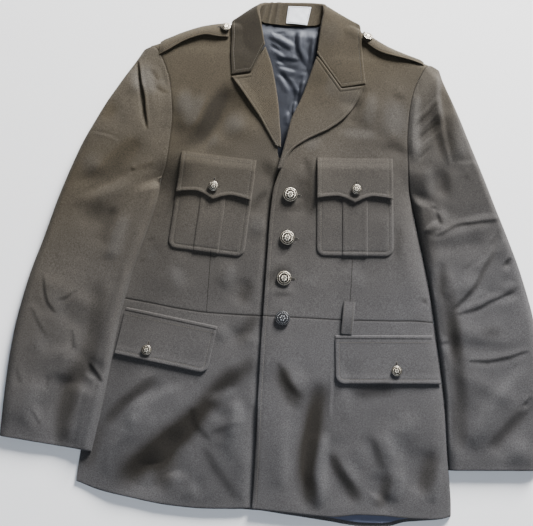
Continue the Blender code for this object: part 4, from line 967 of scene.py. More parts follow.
def front_height(side, x, y):
    """Height of a front. The right one lies lower and smoother where the left one
    covers it, and both sink at the armhole seam."""
    height = side_top(side)(x, y)
    if side == "right":
        edge = inner_edge("left", y)
        below = smooth((168.0 - y) / 12.0)
        height = height - below * smooth((x - edge) / 16.0) * (0.7 + 0.8 * BODY_RELIEF(x, y))
        height = height - below * EDGE_GAP * bell(x - edge + 1.5, 6.0)
    beside = (left_edge(y) - x) if side == "left" else (x - right_edge(y))
    return height - SEAM_DIP * bell(beside, SEAM_REACH) * smooth((y - ARMPIT) / 40.0)


def line_shade(side, x, y):
    """Dark lines on a front: 1 along the armhole seam of the left one, and on the right
    one just outside the closing edge that lies on it."""
    if side == "left":
        return bell(left_edge(y) - x - 0.3, EDGE_SHADE) * smooth((y - ARMPIT) / 40.0)
    edge = inner_edge("left", y)
    return bell(x - edge + EDGE_SHADE, EDGE_SHADE) * smooth((160.0 - y) / 12.0)


def back_plan(u, v, inset=0.0, hem_inset=0.0, neck_inset=0.0):
    """Plan of the whole back between its edges, each moved in by its inset."""
    v, u = v[:, None], u[None, :]
    y = np.zeros((v.shape[0], u.shape[1]))
    for _ in range(12):
        right, left = right_edge(y) + inset, left_edge(y) - inset
        x = right + (left - right) * u
        low = seam_y(x, 3) + hem_inset
        beside_neck = smooth((np.abs(x - NECK_MIDDLE) - 50.0) / 25.0)
        high = shoulder_y(x) - neck_inset - 2.0 * hem_inset * beside_neck
        y = low + (high - low) * v
    return np.stack((x, y), axis=-1)


def gorge_dip(u, bend, depth):
    """The bent seam between lapel and collar: how far it dips below a straight line."""
    return depth * np.minimum(u / bend, (1.0 - u) / (1.0 - bend))


def half_turn(steps):
    """Angles of a fold, from above its centre to below it."""
    return np.radians(np.linspace(0.0, 180.0, steps + 1))


def lapel_grid(side, table, gorge, u, v, steps, curl):
    """Leaf from its outer edge to the roll, round the roll and back below the front. Its
    outer edge curls up a little along the middle."""
    top = side_top(side)
    sections = read_rows(table, v)
    roll, edge = sections[:, :2], sections[:, 2:4]
    dip_share = smooth((v - 0.3) / 0.7)
    width = np.linalg.norm(edge - roll, axis=1)
    outward = (edge - roll) / width[:, None]
    reach = ROLL_RADIUS + (width - ROLL_RADIUS)[:, None] * u
    plan = roll[:, None] + outward[:, None] * reach[..., None]
    plan[..., 1] -= gorge_dip(u, *gorge)[None, :] * dip_share[:, None]
    lifted = smooth((v - 0.05) / 0.4) * smooth((1.0 - v) / 0.3)
    height = top(plan[..., 0], plan[..., 1]) + LEAF_CLEAR
    height = height + curl * lifted[:, None] * smooth((u - 0.55) / 0.45)[None, :]
    leaf = with_height(plan, height)
    inward = with_height(outward, np.zeros(len(v)))[:, None]
    angle = half_turn(steps)[1:, None]
    up = np.array((0.0, 0.0, 1.0))
    arc = leaf[:, -1:] + ROLL_RADIUS * ((np.cos(angle) - 1.0) * up - np.sin(angle) * inward)
    run = np.minimum(LAPEL_RETURN, 0.6 * width)[:, None, None] * np.linspace(0.25, 1.0, 4)[:, None]
    tail = arc[:, -1:] + inward * run
    below = top(tail[..., 0], tail[..., 1]) - CLOTH - LEAF_CLEAR
    tail[..., 2] = np.minimum(tail[..., 2], below)
    return np.concatenate((leaf, arc, tail), axis=1)


def collar_grid(u, v, steps, stand_shares):
    """Band swept round the neck. Each section runs from the outer edge over the fall,
    round the fold and down the stand to the neck seam. The fall lies on the fronts at
    both ends and turns below the back between them."""
    sections = read_rows(COLLAR, v)
    fold, seam, turn, edge = (sections[:, None, 3 * k:3 * k + 3] for k in range(4))
    radius = sections[:, None, 12:13]
    inward = 0.5 * (seam + turn) - fold
    inward /= np.linalg.norm(inward, axis=2)[..., None]
    upward = turn - seam
    upward = upward - inward * (upward * inward).sum(axis=2)[..., None]
    upward /= np.linalg.norm(upward, axis=2)[..., None]
    centre = fold + inward * radius
    start = centre + upward * radius
    share = u[None, :, None]
    bow = (turn - 0.5 * (start + edge)) * 4.0 * share * (1.0 - share)
    fall = start + (edge - start) * share + bow
    bend = np.where(v < 0.5, RIGHT_GORGE[0], LEFT_GORGE[0])[:, None]
    depth = np.where(v < 0.5, RIGHT_GORGE[1], LEFT_GORGE[1])[:, None]
    near_end = smooth(1.0 - np.minimum(v, 1.0 - v) / 0.09)[:, None]
    fall[..., 1] -= gorge_dip(u[None, :], bend, depth * near_end)
    angle = half_turn(steps)[None, :, None]
    arc = centre + radius * (np.cos(angle) * upward - np.sin(angle) * inward)
    stand = arc[:, -1:] + (seam - arc[:, -1:]) * stand_shares[None, :, None]
    x, y, z = fall[..., 0], fall[..., 1], fall[..., 2]
    inside = shoulder_y(x) - y
    surface = shoulder_or_body(x, y) + LEAF_CLEAR + FALL_LIFT * smooth(1.0 - inside / 26.0)
    weight = smooth((inside + 8.0) / 8.5) * smooth((sections[:, 11:12] - 1.5) / 2.5)
    fall[..., 2] = z + np.maximum(surface - z, 0.0) * weight
    grid = np.concatenate((fall[:, :-1], arc, stand), axis=1)
    grid[..., 2] = np.maximum(grid[..., 2], 0.0)
    return grid


def body_lift(x, y):
    """How high the right sleeve is carried where it lies on the side of the body."""
    inside = x - right_edge(y)
    on_body = body_top(x, y) + 2 * GAP + BEND_CLEAR
    beside = (RIM_FLAT + 2 * GAP + BEND_CLEAR) * smooth((inside + 15.0) / 13.0)
    return np.where(inside > -2.0, on_body, beside) * smooth((62.0 - y) / 50.0)


def sleeve_sections(side, v):
    """Inner and outer ends and crown of each section, the first rows on the armhole."""
    table = RIGHT_SLEEVE if side == "right" else LEFT_SLEEVE
    sections = read_rows(table, v)
    inner_y = sections[:, 1]
    armhole = smooth((inner_y - 105.0) / 22.0)
    if side == "right":
        seam = right_edge(inner_y) - 2.0 * SEAM_GAP
        sections[:, 0] += (seam - sections[:, 0]) * armhole
    else:
        sections[:, 0] = left_edge(inner_y) + 0.9 + (2.0 * SEAM_GAP - 0.9) * armhole
    return sections, armhole


def top_sleeve_grid(side, u, v):
    """Upper half of a sleeve: a rounded tube below the armpit and a swelling cap above
    it that starts at the height of the armhole seam. Also gives the shade and light
    painted into its colour: the tones of its creases, and painted light that grows
    towards the shoulder."""
    sections, armhole = sleeve_sections(side, v)
    inner, outer, crown = sections[:, None, :2], sections[:, None, 2:4], sections[:, 4:5]
    u = u[None, :]
    plan = inner + (outer - inner) * u[..., None]
    x, y = plan[..., 0], plan[..., 1]
    width = np.linalg.norm(outer - inner, axis=2)
    far = round_edge((1.0 - u) * width, 16.0)
    near = round_edge(u * width, 14.0)
    if side == "right":
        lift = body_lift(x, y)
        seam_height = body_top(right_edge(y[:, :1]) + 1.0, y[:, :1])
        table = RIGHT_SLEEVE_FOLDS
    else:
        lift = np.zeros_like(x)
        seam_height = left_top(left_edge(y[:, :1]) - 1.0, y[:, :1])
        table = LEFT_SLEEVE_FOLDS
    tube = RIM + 1.05 * lift + (crown - RIM - 0.7 * lift) * near * far
    swell = smooth(u * width / 48.0)
    cap = seam_height + 0.4 + (crown - seam_height) * swell
    cap = RIM + (cap - RIM) * far
    height = tube + (cap - tube) * armhole[:, None]
    creases = SLEEVE_RELIEF[side](x, y) * far * smooth(u * width / 9.0)
    height = height + folds(x, y, table) * far * smooth(u * width / 20.0) + creases
    floor = RIM * (1.0 + 0.3 * smooth(4.0 * u * (1.0 - u)))
    height = np.maximum(height, floor)
    height = height - SEAM_DIP * bell(u * width, SEAM_REACH) * armhole[:, None]
    if side == "right":
        over = body_top(x, y) + CLOTH + 2 * GAP + 3 * BEND_CLEAR
        cover = smooth((x - right_edge(y) + 9.0) / 6.0) * smooth((1.0 - armhole[:, None]) / 0.1)
        height = height + np.maximum(over - height, 0.0) * cover
    # painted shading: the creases' tones, and painted light that grows towards the shoulder
    tone = 0.7 * SLEEVE_RELIEF[side].tone(x, y) + 1.2 * smooth((y - 100.0) / 100.0)
    return with_height(plan, height), tone


def under_sleeve_grid(side, u, v):
    """Lower half of a sleeve, flat on the floor or on the body."""
    sections, _ = sleeve_sections(side, v)
    if side == "right":
        beside = right_edge(sections[:, 1]) - 1.5
        share = smooth((-5.0 - sections[:, 1]) / 40.0)
        clear = np.minimum(sections[:, 0], beside)
        sections[:, 0] = clear + (sections[:, 0] - clear) * share
    inner, outer = sections[:, None, :2], sections[:, None, 2:4]
    plan = inner + (outer - inner) * u[None, :, None]
    x, y = plan[..., 0], plan[..., 1]
    return with_height(plan, body_lift(x, y) if side == "right" else np.zeros_like(x))


def strap_grid(side, table, s, v):
    """Strap on the shoulder: the body's own rounded edge, moved out along its normal,
    with a short skirt that turns down beyond the shoulder line."""
    ends = read_rows(table, v)
    x, reach = ends[:, :1], ends[:, 1:2]
    inside = reach * (1.0 - np.sin(s[None, :] * math.pi / 2.0))
    plan = np.stack((x + 0.0 * inside, shoulder_y(x) - inside), axis=-1)
    points = with_height(plan, side_top(side)(plan[..., 0], plan[..., 1]))
    falls = np.array((0.35, 0.7, 1.0, 1.0))[:, None]
    skirt = points[:, -1:] - np.array((0.0, 0.0, STRAP_SKIRT)) * falls
    skirt[:, 3, 2] -= 0.3
    points = np.concatenate((points, skirt), axis=1)
    normals = grid_normals(points, (len(v) // 2, 0))
    sink = STRAP_SINK * smooth((v - 0.93) / 0.07)[:, None]
    bridge = STRAP_BRIDGE * np.sin(math.pi * np.clip(v * 1.05, 0.0, 1.0)) ** 0.7
    bow = bridge[:, None] * smooth(1.0 - 1.3 * np.append(s, np.ones(4)))[None, :]
    return points + normals * (GAP + 0.35 + bow - sink)[..., None]


def pocket_outline():
    """Outline of a breast pocket in its own frame, from one upper corner down, round the
    two lower corners and up again."""
    half, turn = 0.5 * POCKET_WIDTH, np.radians(np.linspace(0.0, 90.0, 9))
    radius, low = POCKET_CORNER, POCKET_DEPTH - POCKET_CORNER
    corner = np.stack((half - radius * (1 - np.cos(turn)), -low - radius * np.sin(turn)), axis=1)
    side = np.stack((np.full(20, half), -np.linspace(POCKET_TOP, low - 3.0, 20)), axis=1)
    right = np.concatenate((side, corner))
    left = right[::-1] * (-1.0, 1.0)
    return np.concatenate((right, left))


def pocket_plan(depth, across):
    """Local plan of a breast pocket: columns spread evenly between its sides, which turn
    in round the lower corners."""
    low = POCKET_DEPTH - POCKET_CORNER
    into = np.clip((depth - low) / POCKET_CORNER, 0.0, 1.0)
    half = 0.5 * POCKET_WIDTH - POCKET_CORNER * (1.0 - np.sqrt(1.0 - into**2))
    pleat = 0.5 * PLEAT_WIDTH
    outer = np.abs(across) > pleat
    span = (half[:, None] - pleat) / (0.5 * POCKET_WIDTH - pleat)
    x = np.where(outer, np.sign(across) * (pleat + (np.abs(across) - pleat) * span), across)
    return x, -depth[:, None] + 0.0 * x


def flap_height(side, x, y, depth):
    """Outer face of a breast flap: sewn down at its top, then over the patch."""
    under = POCKET_THICK + PLEAT_RISE + GAP + BEND_CLEAR
    curl = FLAP_CURL * smooth((depth - 52.0) / 18.0)
    return side_top(side)(x, y) + GAP + under * smooth(depth / 20.0) + FLAP_THICK + curl


def side_flap_frame(inner_x, inner_y, outer_x, outer_y):
    """Start, direction out, direction down and width of a side flap."""
    width = math.hypot(outer_x - inner_x, outer_y - inner_y)
    out = np.array((outer_x - inner_x, outer_y - inner_y)) / width
    down = np.array((out[1], -out[0])) * (1.0 if out[0] > 0.0 else -1.0)
    return np.array((inner_x, inner_y)), out, down, width


def side_flap_height(side, x, y, depth):
    """Outer face of a side flap, clear of the rounded side it bends over, with a lower
    edge that curls up."""
    bend = 1.0 - round_edge(left_edge(y) - x, LEFT_ROUND) if side == "left" else 0.0
    curl = FLAP_CURL * smooth((depth - 50.0) / 18.0)
    return side_top(side)(x, y) + GAP + FLAP_THICK + 1.2 * bend + curl


# ------------------------------------------------------------ materials
COOL_LIT_WOOL = (0.062, 0.0602, 0.0617, 1.0)     # painted light: wool greyed towards the hem, as under a cool light
HEM_LIGHT_SATIN = (0.07, 0.077, 0.115, 1.0)       # painted light on the lining where it shows below the hem
SATIN_GLOSS = (0.8, 0.86, 1.0, 1.0)
HOLLOW = (0.014, 0.011, 0.008, 1.0)         # tarnish between the metal's relief
# paler colour on the black button's relief
PLASTIC_RELIEF_PALE = (0.3, 0.31, 0.32, 1.0)
# painted shade for the slits of the buttonholes
SLOT_SHADE = (0.012, 0.011, 0.01, 1.0)
WARM_LIGHT_SIDE = (-0.45, 1.0, 0.0)                    # plan direction towards the painted warm light, in which the wool turns brown


class Nodes:
    """A material's nodes, added one by one with their settings and inputs."""

    def __init__(self, name):
        self.material = bpy.data.materials.new(name)
        self.material.use_nodes = True
        self.tree = self.material.node_tree
        self.shader = self.tree.nodes["Principled BSDF"]

    def put(self, node, inputs):
        for key, value in inputs.items():
            if isinstance(value, bpy.types.NodeSocket):
                self.tree.links.new(value, node.inputs[key])
            else:
                node.inputs[key].default_value = value

    def add(self, kind, inputs, **settings):
        node = self.tree.nodes.new("ShaderNode" + kind)
        for key, value in settings.items():
            setattr(node, key, value)
        self.put(node, inputs)
        return node

    def mix(self, factor, first, second, blend="MIX"):
        inputs = {0: factor, 6: first, 7: second}
        return self.add("Mix", inputs, data_type="RGBA", blend_type=blend).outputs[2]

    def spread(self, value, low, high, to_low=0.0, to_high=1.0):
        inputs = {0: value, 1: low, 2: high, 3: to_low, 4: to_high}
        return self.add("MapRange", inputs).outputs[0]

    def math(self, operation, first, second):
        return self.add("Math", {0: first, 1: second}, operation=operation).outputs[0]

    def noise(self, place, scale, detail=3.0, rough=0.55):
        inputs = {"Vector": place, "Scale": scale, "Detail": detail, "Roughness": rough}
        return self.add("TexNoise", inputs).outputs[0]

    def cloudy(self, place, scale):
        return self.spread(self.noise(place, scale), 0.3, 0.7)

    def wave(self, scale, bands, **inputs):
        """Bands across the cloth's own map."""
        inputs = {"Vector": self.place("UV"), "Scale": scale, **inputs}
        return self.add("TexWave", inputs, bands_direction=bands).outputs["Fac"]

    def vector(self, operation, first, second, output=0):
        node = self.add("VectorMath", {0: first, 1: second}, operation=operation)
        return node.outputs[output]

    def place(self, kind="Object"):
        return self.add("TexCoord", {}).outputs[kind]

    def reading(self, name):
        return self.add("Attribute", {}, attribute_name=name).outputs["Fac"]

    def seams(self, lines):
        """Mask that is 1 on thin lines drawn in plan and 0 beside them: the distance of
        a point from each segment, measured to its nearest point."""
        place, mask = self.place(), 0.0
        for x0, y0, x1, y1 in lines:
            start = ((np.array((x0, y0, 0.0)) - CENTRE) * MM).tolist()
            run = [(x1 - x0) * MM, (y1 - y0) * MM, 0.0]
            arm = self.vector("SUBTRACT", self.vector("MULTIPLY", place, (1.0, 1.0, 0.0)), start)
            dot = self.vector("DOT_PRODUCT", arm, run, "Value")
            share = self.spread(dot, 0.0, run[0] ** 2 + run[1] ** 2)
            foot = self.add("VectorMath", {0: run, "Scale": share}, operation="SCALE").outputs[0]
            away = self.vector("DISTANCE", arm, foot, "Value")
            mask = self.math("MAXIMUM", mask, self.spread(away, 0.0009, 0.0002))
        return mask

    def scaled(self, color, factor):
        return self.mix(1.0, color, (factor, factor, factor, 1.0), "MULTIPLY")

    def bump(self, height, strength, distance):
        inputs = {"Strength": strength, "Distance": distance, "Height": height}
        return self.add("Bump", inputs).outputs[0]

    def finish(self, **inputs):
        self.put(self.shader, {key.replace("_", " "): value for key, value in inputs.items()})
        return self.material


def solid(color, factor=1.0):
    """Opaque colour, darker or lighter by a factor."""
    return tuple(channel * factor for channel in color) + (1.0,)


def made_material(name, make):
    """The material of that name, made once."""
    return bpy.data.materials.get(name) or make(name)


def wool(name):
    """Felted twill: diagonal ribs, a fuzz of fibres and soft mottling. Light and shade are
    painted into its colour: brown at the collar as under a warm light and greyer towards
    the hem and the left side as under a cool light; painted shade, darker and browner,
    where the tone is dark and a painted grey highlight where it is light; a painted
    highlight along edges; and painted shade in seams, in darts and along shaded lines."""
    cloth = bpy.context.scene.tunic_cloth
    # the grey colour painted as highlight on light creases, which also tints the sheen
    brown, nap = cloth.wool_color, solid(cloth.sheen_and_highlight_color)
    n = Nodes(name)
    place = n.place()
    mottle = n.spread(n.noise(place, 7.0, 4.0), 0.3, 0.7)
    patch = n.spread(n.noise(place, 42.0, 5.0, 0.65), 0.25, 0.75)
    fuzz = n.noise(place, 620.0, 5.0, 0.8)
    twill = n.wave(480.0, "DIAGONAL", Distortion=1.2, Detail=1.0)
    # painted light: brown on the side of the warm light, greyer towards the hem where a cool light
    # falls
    warm_light_side = n.vector("DOT_PRODUCT", place, WARM_LIGHT_SIDE, "Value")
    color = n.mix(n.spread(warm_light_side, 0.25, -0.18), solid(brown), COOL_LIT_WOOL)
    color = n.mix(mottle, n.scaled(color, 0.86), n.scaled(color, 1.12))
    color = n.mix(n.math("MULTIPLY", patch, 0.3), color, n.scaled(color, 1.3))
    # painted shade, dark brown, in dark crease bands and a painted grey highlight on light ones
    tone = n.reading("nap")
    color = n.mix(n.spread(tone, 0.0, -5.0, 0.0, 0.85), color, solid(brown, 0.35))
    color = n.mix(n.spread(tone, 0.0, 4.0, 0.0, 0.3), color, nap)
    # painted highlight along edges
    edge = n.reading("edge")
    color = n.mix(n.spread(edge, 0.0, 1.0, 0.0, 0.14), color, n.scaled(color, 2.1))
    # painted shade in seams, in darts and along shaded lines
    seam = n.math("MAXIMUM", n.spread(edge, 0.0, -1.0), n.seams(DARTS))
    color = n.mix(n.math("MULTIPLY", seam, 0.75), color, solid(brown, 0.12))
    grain = n.math("ADD", n.math("MULTIPLY", twill, 0.35), n.math("MULTIPLY", fuzz, 0.9))
    color = n.mix(n.spread(fuzz, 0.39, 0.61, 0.5, 1.0), solid(brown, 0.1), color)
    # lighter fibre specks from the grain, painted stronger on the warm-lit side
    specks = n.spread(grain, 0.4, 0.95, 0.0, 0.5), n.spread(warm_light_side, -0.15, 0.25, 0.5, 1.5)
    color = n.mix(n.math("MULTIPLY", *specks), color, n.scaled(color, 2.1))
    return n.finish(
        Base_Color=color, Roughness=0.93, Specular_IOR_Level=0.2, Sheen_Weight=cloth.sheen,
        Sheen_Roughness=0.42, Sheen_Tint=nap, Normal=n.bump(grain, 0.55, 0.0007),
    )


def satin(name):
    """Dark lining satin: smooth floats along the warp, with painted light where it shows
    below the hem."""
    dark = bpy.context.scene.tunic_cloth.satin_color
    n = Nodes(name)
    place = n.place()
    color = n.mix(n.cloudy(place, 60.0), solid(dark, 0.8), solid(dark, 1.4))
    # painted light on the lining below the hem
    hem = n.spread(n.add("SeparateXYZ", {0: place}).outputs["Y"], -0.35, -0.385)
    return n.finish(
        Base_Color=n.mix(hem, color, HEM_LIGHT_SATIN), Roughness=0.5, Specular_IOR_Level=0.3,
        Specular_Tint=SATIN_GLOSS, Normal=n.bump(n.wave(900.0, "X"), 0.25, 0.0002),
    )


def label_cloth(name):
    """White woven label: fine ribs and a little soiling."""
    white = bpy.context.scene.tunic_cloth.label_color
    n = Nodes(name)
    color = n.mix(n.cloudy(n.place(), 90.0), solid(white, 0.85), solid(white))
    weave = n.bump(n.wave(420.0, "X"), 0.4, 0.0003)
    return n.finish(Base_Color=color, Roughness=0.7, Normal=weave)


def thread(name):
    """Sewing thread, twisted from two plies and a little uneven."""
    brown = bpy.context.scene.tunic_cloth.thread_color
    n = Nodes(name)
    ply = n.add("TexWave", {"Vector": n.place(), "Scale": 300.0}).outputs["Fac"]
    color = n.mix(n.cloudy(n.place(), 160.0), solid(brown, 0.7), solid(brown, 1.25))
    return n.finish(Base_Color=color, Roughness=0.75, Sheen_Weight=0.2,
                    Normal=n.bump(ply, 0.4, 0.0002))


def dark_cloth(name):
    """Painted shade in the slit of a buttonhole: a dark strip where the cut shows only shade."""
    return Nodes(name).finish(Base_Color=SLOT_SHADE, Roughness=0.95)


def aged_metal(name):
    """Worn silver-gold: bright on the relief, tarnished in its hollows."""
    bright = bpy.context.scene.tunic_buttons.metal_color
    n = Nodes(name)
    place = n.place()
    marks = n.spread(n.noise(place, 260.0, 4.0), 0.35, 0.65)
    color = n.mix(n.math("MULTIPLY", marks, 0.5), solid(bright), solid(bright, 0.62))
    return n.finish(
        Base_Color=n.mix(n.spread(n.reading("relief"), 0.03, 0.17), HOLLOW, color),
        Metallic=0.8, Roughness=n.spread(marks, 0.0, 1.0, 0.25, 0.42),
        Normal=n.bump(n.noise(place, 900.0), 0.2, 0.0002),
    )


def black_plastic(name):
    """Black plastic, paler on its relief."""
    black = solid(bpy.context.scene.tunic_buttons.plastic_color)
    n = Nodes(name)
    marks = n.spread(n.reading("relief"), 0.12, 0.2)
    return n.finish(Base_Color=n.mix(marks, black, PLASTIC_RELIEF_PALE), Roughness=0.35,
                    Specular_IOR_Level=0.35)


# ------------------------------------------------------------ settings
def color_setting(name, description, default):
    return FloatVectorProperty(name=name, description=description, default=default, min=0.0,
                               max=1.0, size=3, subtype="COLOR")


def length_setting(name, description, default, low, high):
    return FloatProperty(name=name, description=description, default=default, min=low, max=high,
                         unit="LENGTH")


class TunicCloth(bpy.types.PropertyGroup):
    """Colours of the cloth and sizes of its topstitching."""

    wool_color: color_setting("Wool", "Colour of the wool", (0.038, 0.0307, 0.0197))
    # colour of the sheen, also painted as highlight on light creases
    sheen_and_highlight_color: color_setting("Nap", "Colour that the wool's nap shows on ridges", (0.1, 0.1, 0.102))
    satin_color: color_setting("Satin", "Colour of the lining", (0.0105, 0.0115, 0.0155))
    label_color: color_setting("Label", "Colour of the neck label", (0.78, 0.8, 0.84))
    thread_color: color_setting("Thread", "Colour of the topstitching", (0.06, 0.05, 0.035))
    sheen: FloatProperty(name="Sheen", description="Strength of the wool's sheen", default=0.35,
                         min=0.0, max=1.0, subtype="FACTOR")
    stitch_pitch: length_setting("Stitch pitch", "From stitch to stitch", 0.0028, 0.002, 0.006)
    stitch_length: length_setting("Stitch length", "Length of a stitch", 0.0021, 0.001, 0.005)
    thread_radius: length_setting("Thread radius", "Radius of the thread", 0.00028, 0.0001, 0.001)


class TunicButtons(bpy.types.PropertyGroup):
    """Colours and relief of the buttons."""

    metal_color: color_setting("Metal", "Colour of the metal buttons", (0.8, 0.73, 0.6))
    plastic_color: color_setting("Plastic", "Colour of the black button", (0.006, 0.006, 0.007))
    relief: length_setting("Relief", "Height of the pattern on a front button", 0.0007, 0.0, 0.001)


class TunicStage(bpy.types.PropertyGroup):
    """Floor, lights and camera."""

    floor_color: color_setting("Floor", "Colour of the floor", (0.88, 0.88, 0.88))
    key_power: FloatProperty(name="Key", description="Power of the warm main light",
                             default=940.0, min=0.0, unit="POWER")
    fill_power: FloatProperty(name="Fill", description="Power of the cool fill light",
                              default=16.0, min=0.0, unit="POWER")
    distance: FloatProperty(name="Distance", description="From the camera to the tunic",
                            default=1.3, min=0.5, unit="LENGTH")
    tilt: FloatProperty(name="Tilt", description="Lean of the camera towards the hem",
                        default=math.radians(8.0), subtype="ANGLE")
    roll: FloatProperty(name="Roll", description="Turn of the picture",
                        default=math.radians(4.0), subtype="ANGLE")
    lens: FloatProperty(name="Lens", description="Focal length in millimetres", default=56.0,
                        min=20.0)


# ------------------------------------------------------------ what the operators share
def sew(node, lines):
    """Topstitching along lines, with the stitch sizes of the settings."""
    cloth = bpy.context.scene.tunic_cloth
    sizes = (cloth.stitch_pitch / MM, cloth.stitch_length / MM, cloth.thread_radius / MM)
    stitches(f"{node}_stitching", lines, made_material("thread", thread), *sizes)


def wool_wall(node, face, thickness, **edges):
    return cloth_wall(f"{node}_cloth", face, thickness, made_material("wool_twill", wool), **edges)


def wool_sheet(node, face, thickness, rests_on, with_pieces=(), **edges):
    """Wool cloth that stands for one node. Gives its outer face and the face's normals."""
    made, outer, up = wool_wall(node, face, thickness, **edges)
    declare(made, node, "wool", outer)
    return outer, up


def body_sheets(part, levels, v, width, by_side, pitch, sewn=1.0, **edges):
    """Right and left cloth of one part of the body, between two levels. The left one
    lies on the right one and is topstitched along this share of its closing edge."""
    for side, closing in (("right", ()), ("left", TURNED)):
        u = spaced(width, closing, by_side, pitch) / width
        plan = front_plan(side, *levels, u, v)
        x, y = plan[..., 0], plan[..., 1]
        outer, up = wool_sheet(
            f"{side}_{part}", with_height(plan, front_height(side, x, y)), CLOTH,
            [f"right_{part}_cloth" if closing else "lining_cloth"],
            stitched=("start",) if closing else (), nap=BODY_RELIEF.tone(x, y),
            shade=line_shade(side, x, y), **edges,
        )
        if closing:
            line = inset_line(outer, up, "start", STITCH_IN)
            sew(f"left_{part}", [[points[: int(sewn * len(points))] for points in line]])


# ------------------------------------------------------------ operators
class TUNIC_OT_back(bpy.types.Operator):
    """Back panel, flat on the floor"""

    bl_idname = "tunic.back"
    bl_label = "Back"

    def execute(self, context):
        plan = back_plan(np.linspace(0, 1, 65), np.linspace(0, 1, 97))
        face = with_height(plan, back_rise(plan[..., 0], plan[..., 1]))
        wool_sheet("back", face, CLOTH, ["floor"], grow=1)
        return {"FINISHED"}


class TUNIC_OT_lining(bpy.types.Operator):
    """Satin lining on the inside of the back, wrinkled in the neck opening"""

    bl_idname = "tunic.lining"
    bl_label = "Lining"

    def execute(self, context):
        u = np.interp(np.arange(97) / 96, (0, 0.16, 0.86, 1), (0, 0.26, 0.68, 1))
        v = np.interp(np.arange(173) / 172, (0, 0.1, 0.3, 1), (0, 0.06, 0.69, 1))
        plan = back_plan(u, v, inset=30.0, hem_inset=6.0, neck_inset=0.5)
        x, y = plan[..., 0], plan[..., 1]
        neck = bell(x - 12.0, 75.0) * smooth((y - 165.0) / 50.0) * smooth((388.0 - y) / 18.0)
        hem = smooth((-355.0 - y) / 12.0)
        creases = LINING_RELIEF(x, y)
        height = back_rise(x, y, 12.0) + CLOTH + GAP + np.maximum(neck * (3.0 + 0.8 * creases), 0.0)
        height = height + np.maximum(hem * (0.5 + 0.5 * creases), 0.0)
        made, outer, _ = cloth_wall("lining_cloth", with_height(plan, height), SATIN,
                                    made_material("satin", satin), grow=1, nap=creases)
        declare(made, "lining", "lining_satin", outer)
        return {"FINISHED"}


class TUNIC_OT_fronts(bpy.types.Operator):
    """Right and left fronts above the waist seam"""

    bl_idname = "tunic.fronts"
    bl_label = "Fronts"

    def execute(self, context):
        v = spaced(480.0, SEAMED, (3.0, 6.0), PITCH) / 480.0
        body_sheets("front", ("waist", "shoulder"), v, 205.0, SEAMED, PITCH, CLOSING_SEWN,
                    seams=("low",))
        return {"FINISHED"}


class TUNIC_OT_skirts(bpy.types.Operator):
    """Right and left skirts below the waist seam"""

    bl_idname = "tunic.skirts"
    bl_label = "Skirts"

    def execute(self, context):
        v = spaced(290.0, HEMMED, SEAMED, WIDE_PITCH) / 290.0
        body_sheets("skirt", ("hem", "waist"), v, 260.0, (1.5, 3.5), WIDE_PITCH,
                    turned=("low",), seams=("high",))
        return {"FINISHED"}


class TUNIC_OT_lapels(bpy.types.Operator):
    """Lapels, turned back from the front edges along a soft roll"""

    bl_idname = "tunic.lapels"
    bl_label = "Lapels"

    def execute(self, context):
        for side, table, gorge, long, wide, pitch in (
            ("right", RIGHT_LAPEL, RIGHT_GORGE, 175.0, 55.0, FINE_PITCH),
            ("left", LEFT_LAPEL, LEFT_GORGE, 205.0, 85.0, 1.49),
        ):
            v = spaced(long, (0.6, 1.3, 2.4, 4.0), TURNED, FINE_PITCH) / long
            u = 1.0 - spaced(wide, TURNED, (), pitch) / wide
            face = lapel_grid(side, table, gorge, u, v, 12, LAPEL_CURL[side])
            # painted shade and light on the lapel, taken from the body's relief heights at a
            # shifted place
            outer, up = wool_sheet(
                f"{side}_lapel", face, LEAF, [f"{side}_front_cloth"], turned=("low",),
                stitched=("start", "high"), upper=(len(v) // 2, 4),
                nap=0.6 * BODY_RELIEF(face[..., 0] + 60.0, face[..., 1] - 40.0),
            )
            leaf = slice(0, len(u))
            sew(f"{side}_lapel", sewn_lines(outer[:, leaf], up[:, leaf], ("start", "high"))[:1])
        return {"FINISHED"}


class TUNIC_OT_collar(bpy.types.Operator):
    """Collar, stand and fall in one folded band"""

    bl_idname = "tunic.collar"
    bl_label = "Collar"

    def execute(self, context):
        v = spaced(360.0, TURNED, TURNED, 1.6) / 360.0
        u = 1.0 - spaced(60.0, TURNED, (), FINE_PITCH) / 60.0
        face = collar_grid(u, v, 16, np.linspace(0.0, 1.0, 13)[1:])
        rows, columns = face.shape[:2]
        upper = (rows // 16, 3)
        up = grid_normals(face, upper)
        station, run = v[:, None] + np.zeros((1, columns)), np.arange(columns)[None, :] / columns
        on_fall = run < len(u) / columns
        ripple = np.where(on_fall, 0.0, 0.8 * soft_noise(420.0 * station, 6.0 * run, 5.5, 73))
        ripple = ripple * bell(station - 0.36, 0.08)
        relief = 0.55 * soft_noise(face[..., 0], face[..., 1], 38.0, 71) + ripple
        face = face + up * relief[..., None]
        face[..., 2] = np.maximum(face[..., 2], 0.0)
        # painted shade on the right half of the fall, and painted shade and light that follow the
        # collar's relief
        outer, up = wool_sheet(
            "collar", face, LEAF, ["right_front_cloth", "left_front_cloth"],
            stitched=("start", "low", "high"), upper=upper,
            nap=1.5 * relief - 7.0 * on_fall * smooth((0.45 - station) / 0.1),
        )
        fall = slice(0, len(u))
        sew("collar", sewn_lines(outer[:, fall], up[:, fall], ("start", "low", "high")))
        return {"FINISHED"}


